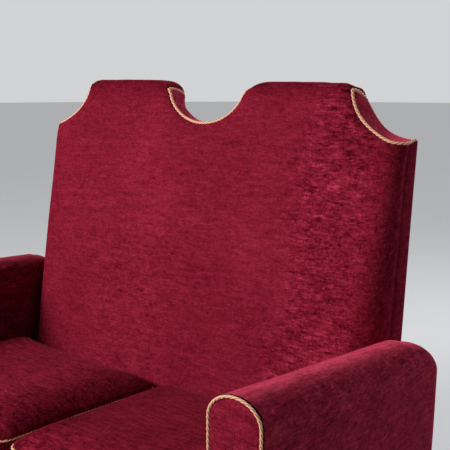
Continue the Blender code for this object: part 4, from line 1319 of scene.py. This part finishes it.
def build_zip(side):
    """Woven tape, two rows of teeth, and the slider with its pull."""
    low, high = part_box(f"zip_tape_{side}")
    middle_z = (low.z + high.z) / 2
    lines = [(high.z, high.y - 0.0010)]
    lines += [(middle_z + up, high.y - back) for up, back in TAPE_STEPS]
    lines += [(low.z, high.y - 0.0010)]
    tape = sheet(
        f"zip_cloth_{side}", lines, spread(low.x, high.x, 60), lambda line, x: (x, line[1], line[0])
    )
    link(tape, ZIP_TAPE, "zip_tape", f"zip_tape_{side}", body=f"cushion_{side}")

    bm = bmesh.new()
    for k in range(int((high.x - low.x - 0.006) / TOOTH_PITCH)):
        lift = 0.0007 if k % 2 else -0.0007
        add_block(bm, TOOTH_SIZE, (low.x + 0.003 + TOOTH_PITCH * k, high.y - 0.0002, middle_z + lift))
    teeth = object_from(bm, f"zip_teeth_{side}")
    link(teeth, BRASS, "zip_brass", body=f"cushion_{side}", smooth_shade=False)

    low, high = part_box(f"zip_slider_{side}")
    bm = bmesh.new()
    for size, offset in SLIDER_BLOCKS:
        add_block(bm, size, (low + high) / 2 + Vector(offset))
    bmesh.ops.bevel(bm, geom=bm.edges[:], offset=0.0003, segments=2, affect="EDGES")
    runner = object_from(bm, f"zip_runner_{side}")
    link(runner, BRASS, "zip_brass", f"zip_slider_{side}", body=f"zip_pull_{side}")


FRAME_MATERIALS = (
    ("leg_back", MAHOGANY),
    ("glide", NYLON),
    (("seat_board", "back_top_board"), PLY),
    (("back_post", "back_centre_post", "arm_post"), BEECH_UP),
    (("side_rail", "centre_rail", "arm_rail"), BEECH_DEEP),
    ("", BEECH),
)


def finish_frame_nodes():
    """Give every carried-over CAD node the first material whose names it starts with."""
    for name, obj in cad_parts.items():
        obj.data.materials.clear()
        obj.data.materials.append(next(look for start, look in FRAME_MATERIALS if name.startswith(start)))


finish_frame_nodes()
build_back_front()
build_back_rear()
build_top_board()
build_scallops()
build_side_bands()
build_rear_corners()
build_border()
build_deck()
cushion_pattern = inflated_cushion()
for side, sign in SIDES:
    build_arm(side, sign)
    build_cushion(side, sign, cushion_pattern)
    build_front_leg(side)
    build_zip(side)

# ---------------------------------------------------------------- studio
PALE = (0.80, 0.81, 0.83)
# softboxes: name, place, aim, width, height, power, tint
SOFTBOXES = (
    ("key", (-1.7, -2.8, 2.5), (0.2, 0.1, 0.8), 1.4, 1.3, 145.0, (1.0, 0.97, 0.95)),
    ("fill", (3.4, -0.6, 1.8), (0.3, 0.2, 0.8), 1.6, 1.6, 5.0, (0.95, 0.97, 1.0)),
    ("rear", (1.2, 3.2, 2.4), (0.0, 0.0, 0.7), 2.0, 1.6, 40.0, (1.0, 1.0, 1.0)),
)


def build_world(scene):
    """A pale surround, dimmer for the light it casts than for the camera."""
    scene.world = world = bpy.data.worlds.new("studio")
    world.use_nodes = True
    nodes, links = world.node_tree.nodes, world.node_tree.links
    background = nodes["Background"]
    background.inputs["Color"].default_value = (*PALE, 1.0)
    rays = nodes.new("ShaderNodeLightPath")
    strength = nodes.new("ShaderNodeMapRange")
    strength.inputs["To Min"].default_value = 0.15
    strength.inputs["To Max"].default_value = 0.80
    links.new(rays.outputs["Is Camera Ray"], strength.inputs["Value"])
    links.new(strength.outputs["Result"], background.inputs["Strength"])


def build_floor(scene):
    bm = bmesh.new()
    bmesh.ops.create_circle(bm, cap_ends=True, segments=96, radius=30.0)
    floor = object_from(bm, "studio_floor")
    scene.collection.objects.link(floor)
    s = Shader("studio_floor")
    colour = s.ramp(s.noise((3, 3, 3), 3.0), [(0.3, (0.60, 0.61, 0.63)), (0.7, (0.63, 0.64, 0.66))])
    seen = s.node("LightPath").outputs["Is Camera Ray"]
    floor.data.materials.append(
        s.finish(colour, 0.7, Emission_Color=PALE, Emission_Strength=s.times(seen, 0.42))
    )


def build_lights(scene):
    for name, place, aim, width, height, power, tint in SOFTBOXES:
        light = bpy.data.lights.new(name, "AREA")
        light.shape = "RECTANGLE"
        light.size = width
        light.size_y = height
        light.energy = power
        light.color = tint
        lamp = bpy.data.objects.new(name, light)
        lamp.location = place
        lamp.rotation_euler = (Vector(aim) - Vector(place)).to_track_quat("-Z", "Y").to_euler()
        scene.collection.objects.link(lamp)


def build_camera(scene):
    camera = bpy.data.cameras.new("camera")
    camera.lens = 70.0
    camera.sensor_width = 36.0
    camera.clip_end = 100.0
    eye = bpy.data.objects.new("camera", camera)
    eye.location = (1.509, FACE_Y - 1.796, 1.257)
    eye.rotation_euler = (math.radians(90 - 10.27), 0.0, math.radians(38.9))
    scene.collection.objects.link(eye)
    scene.camera = eye


scene = bpy.context.scene
scene.view_settings.view_transform = "Standard"
for build in (build_world, build_floor, build_lights, build_camera):
    build(scene)
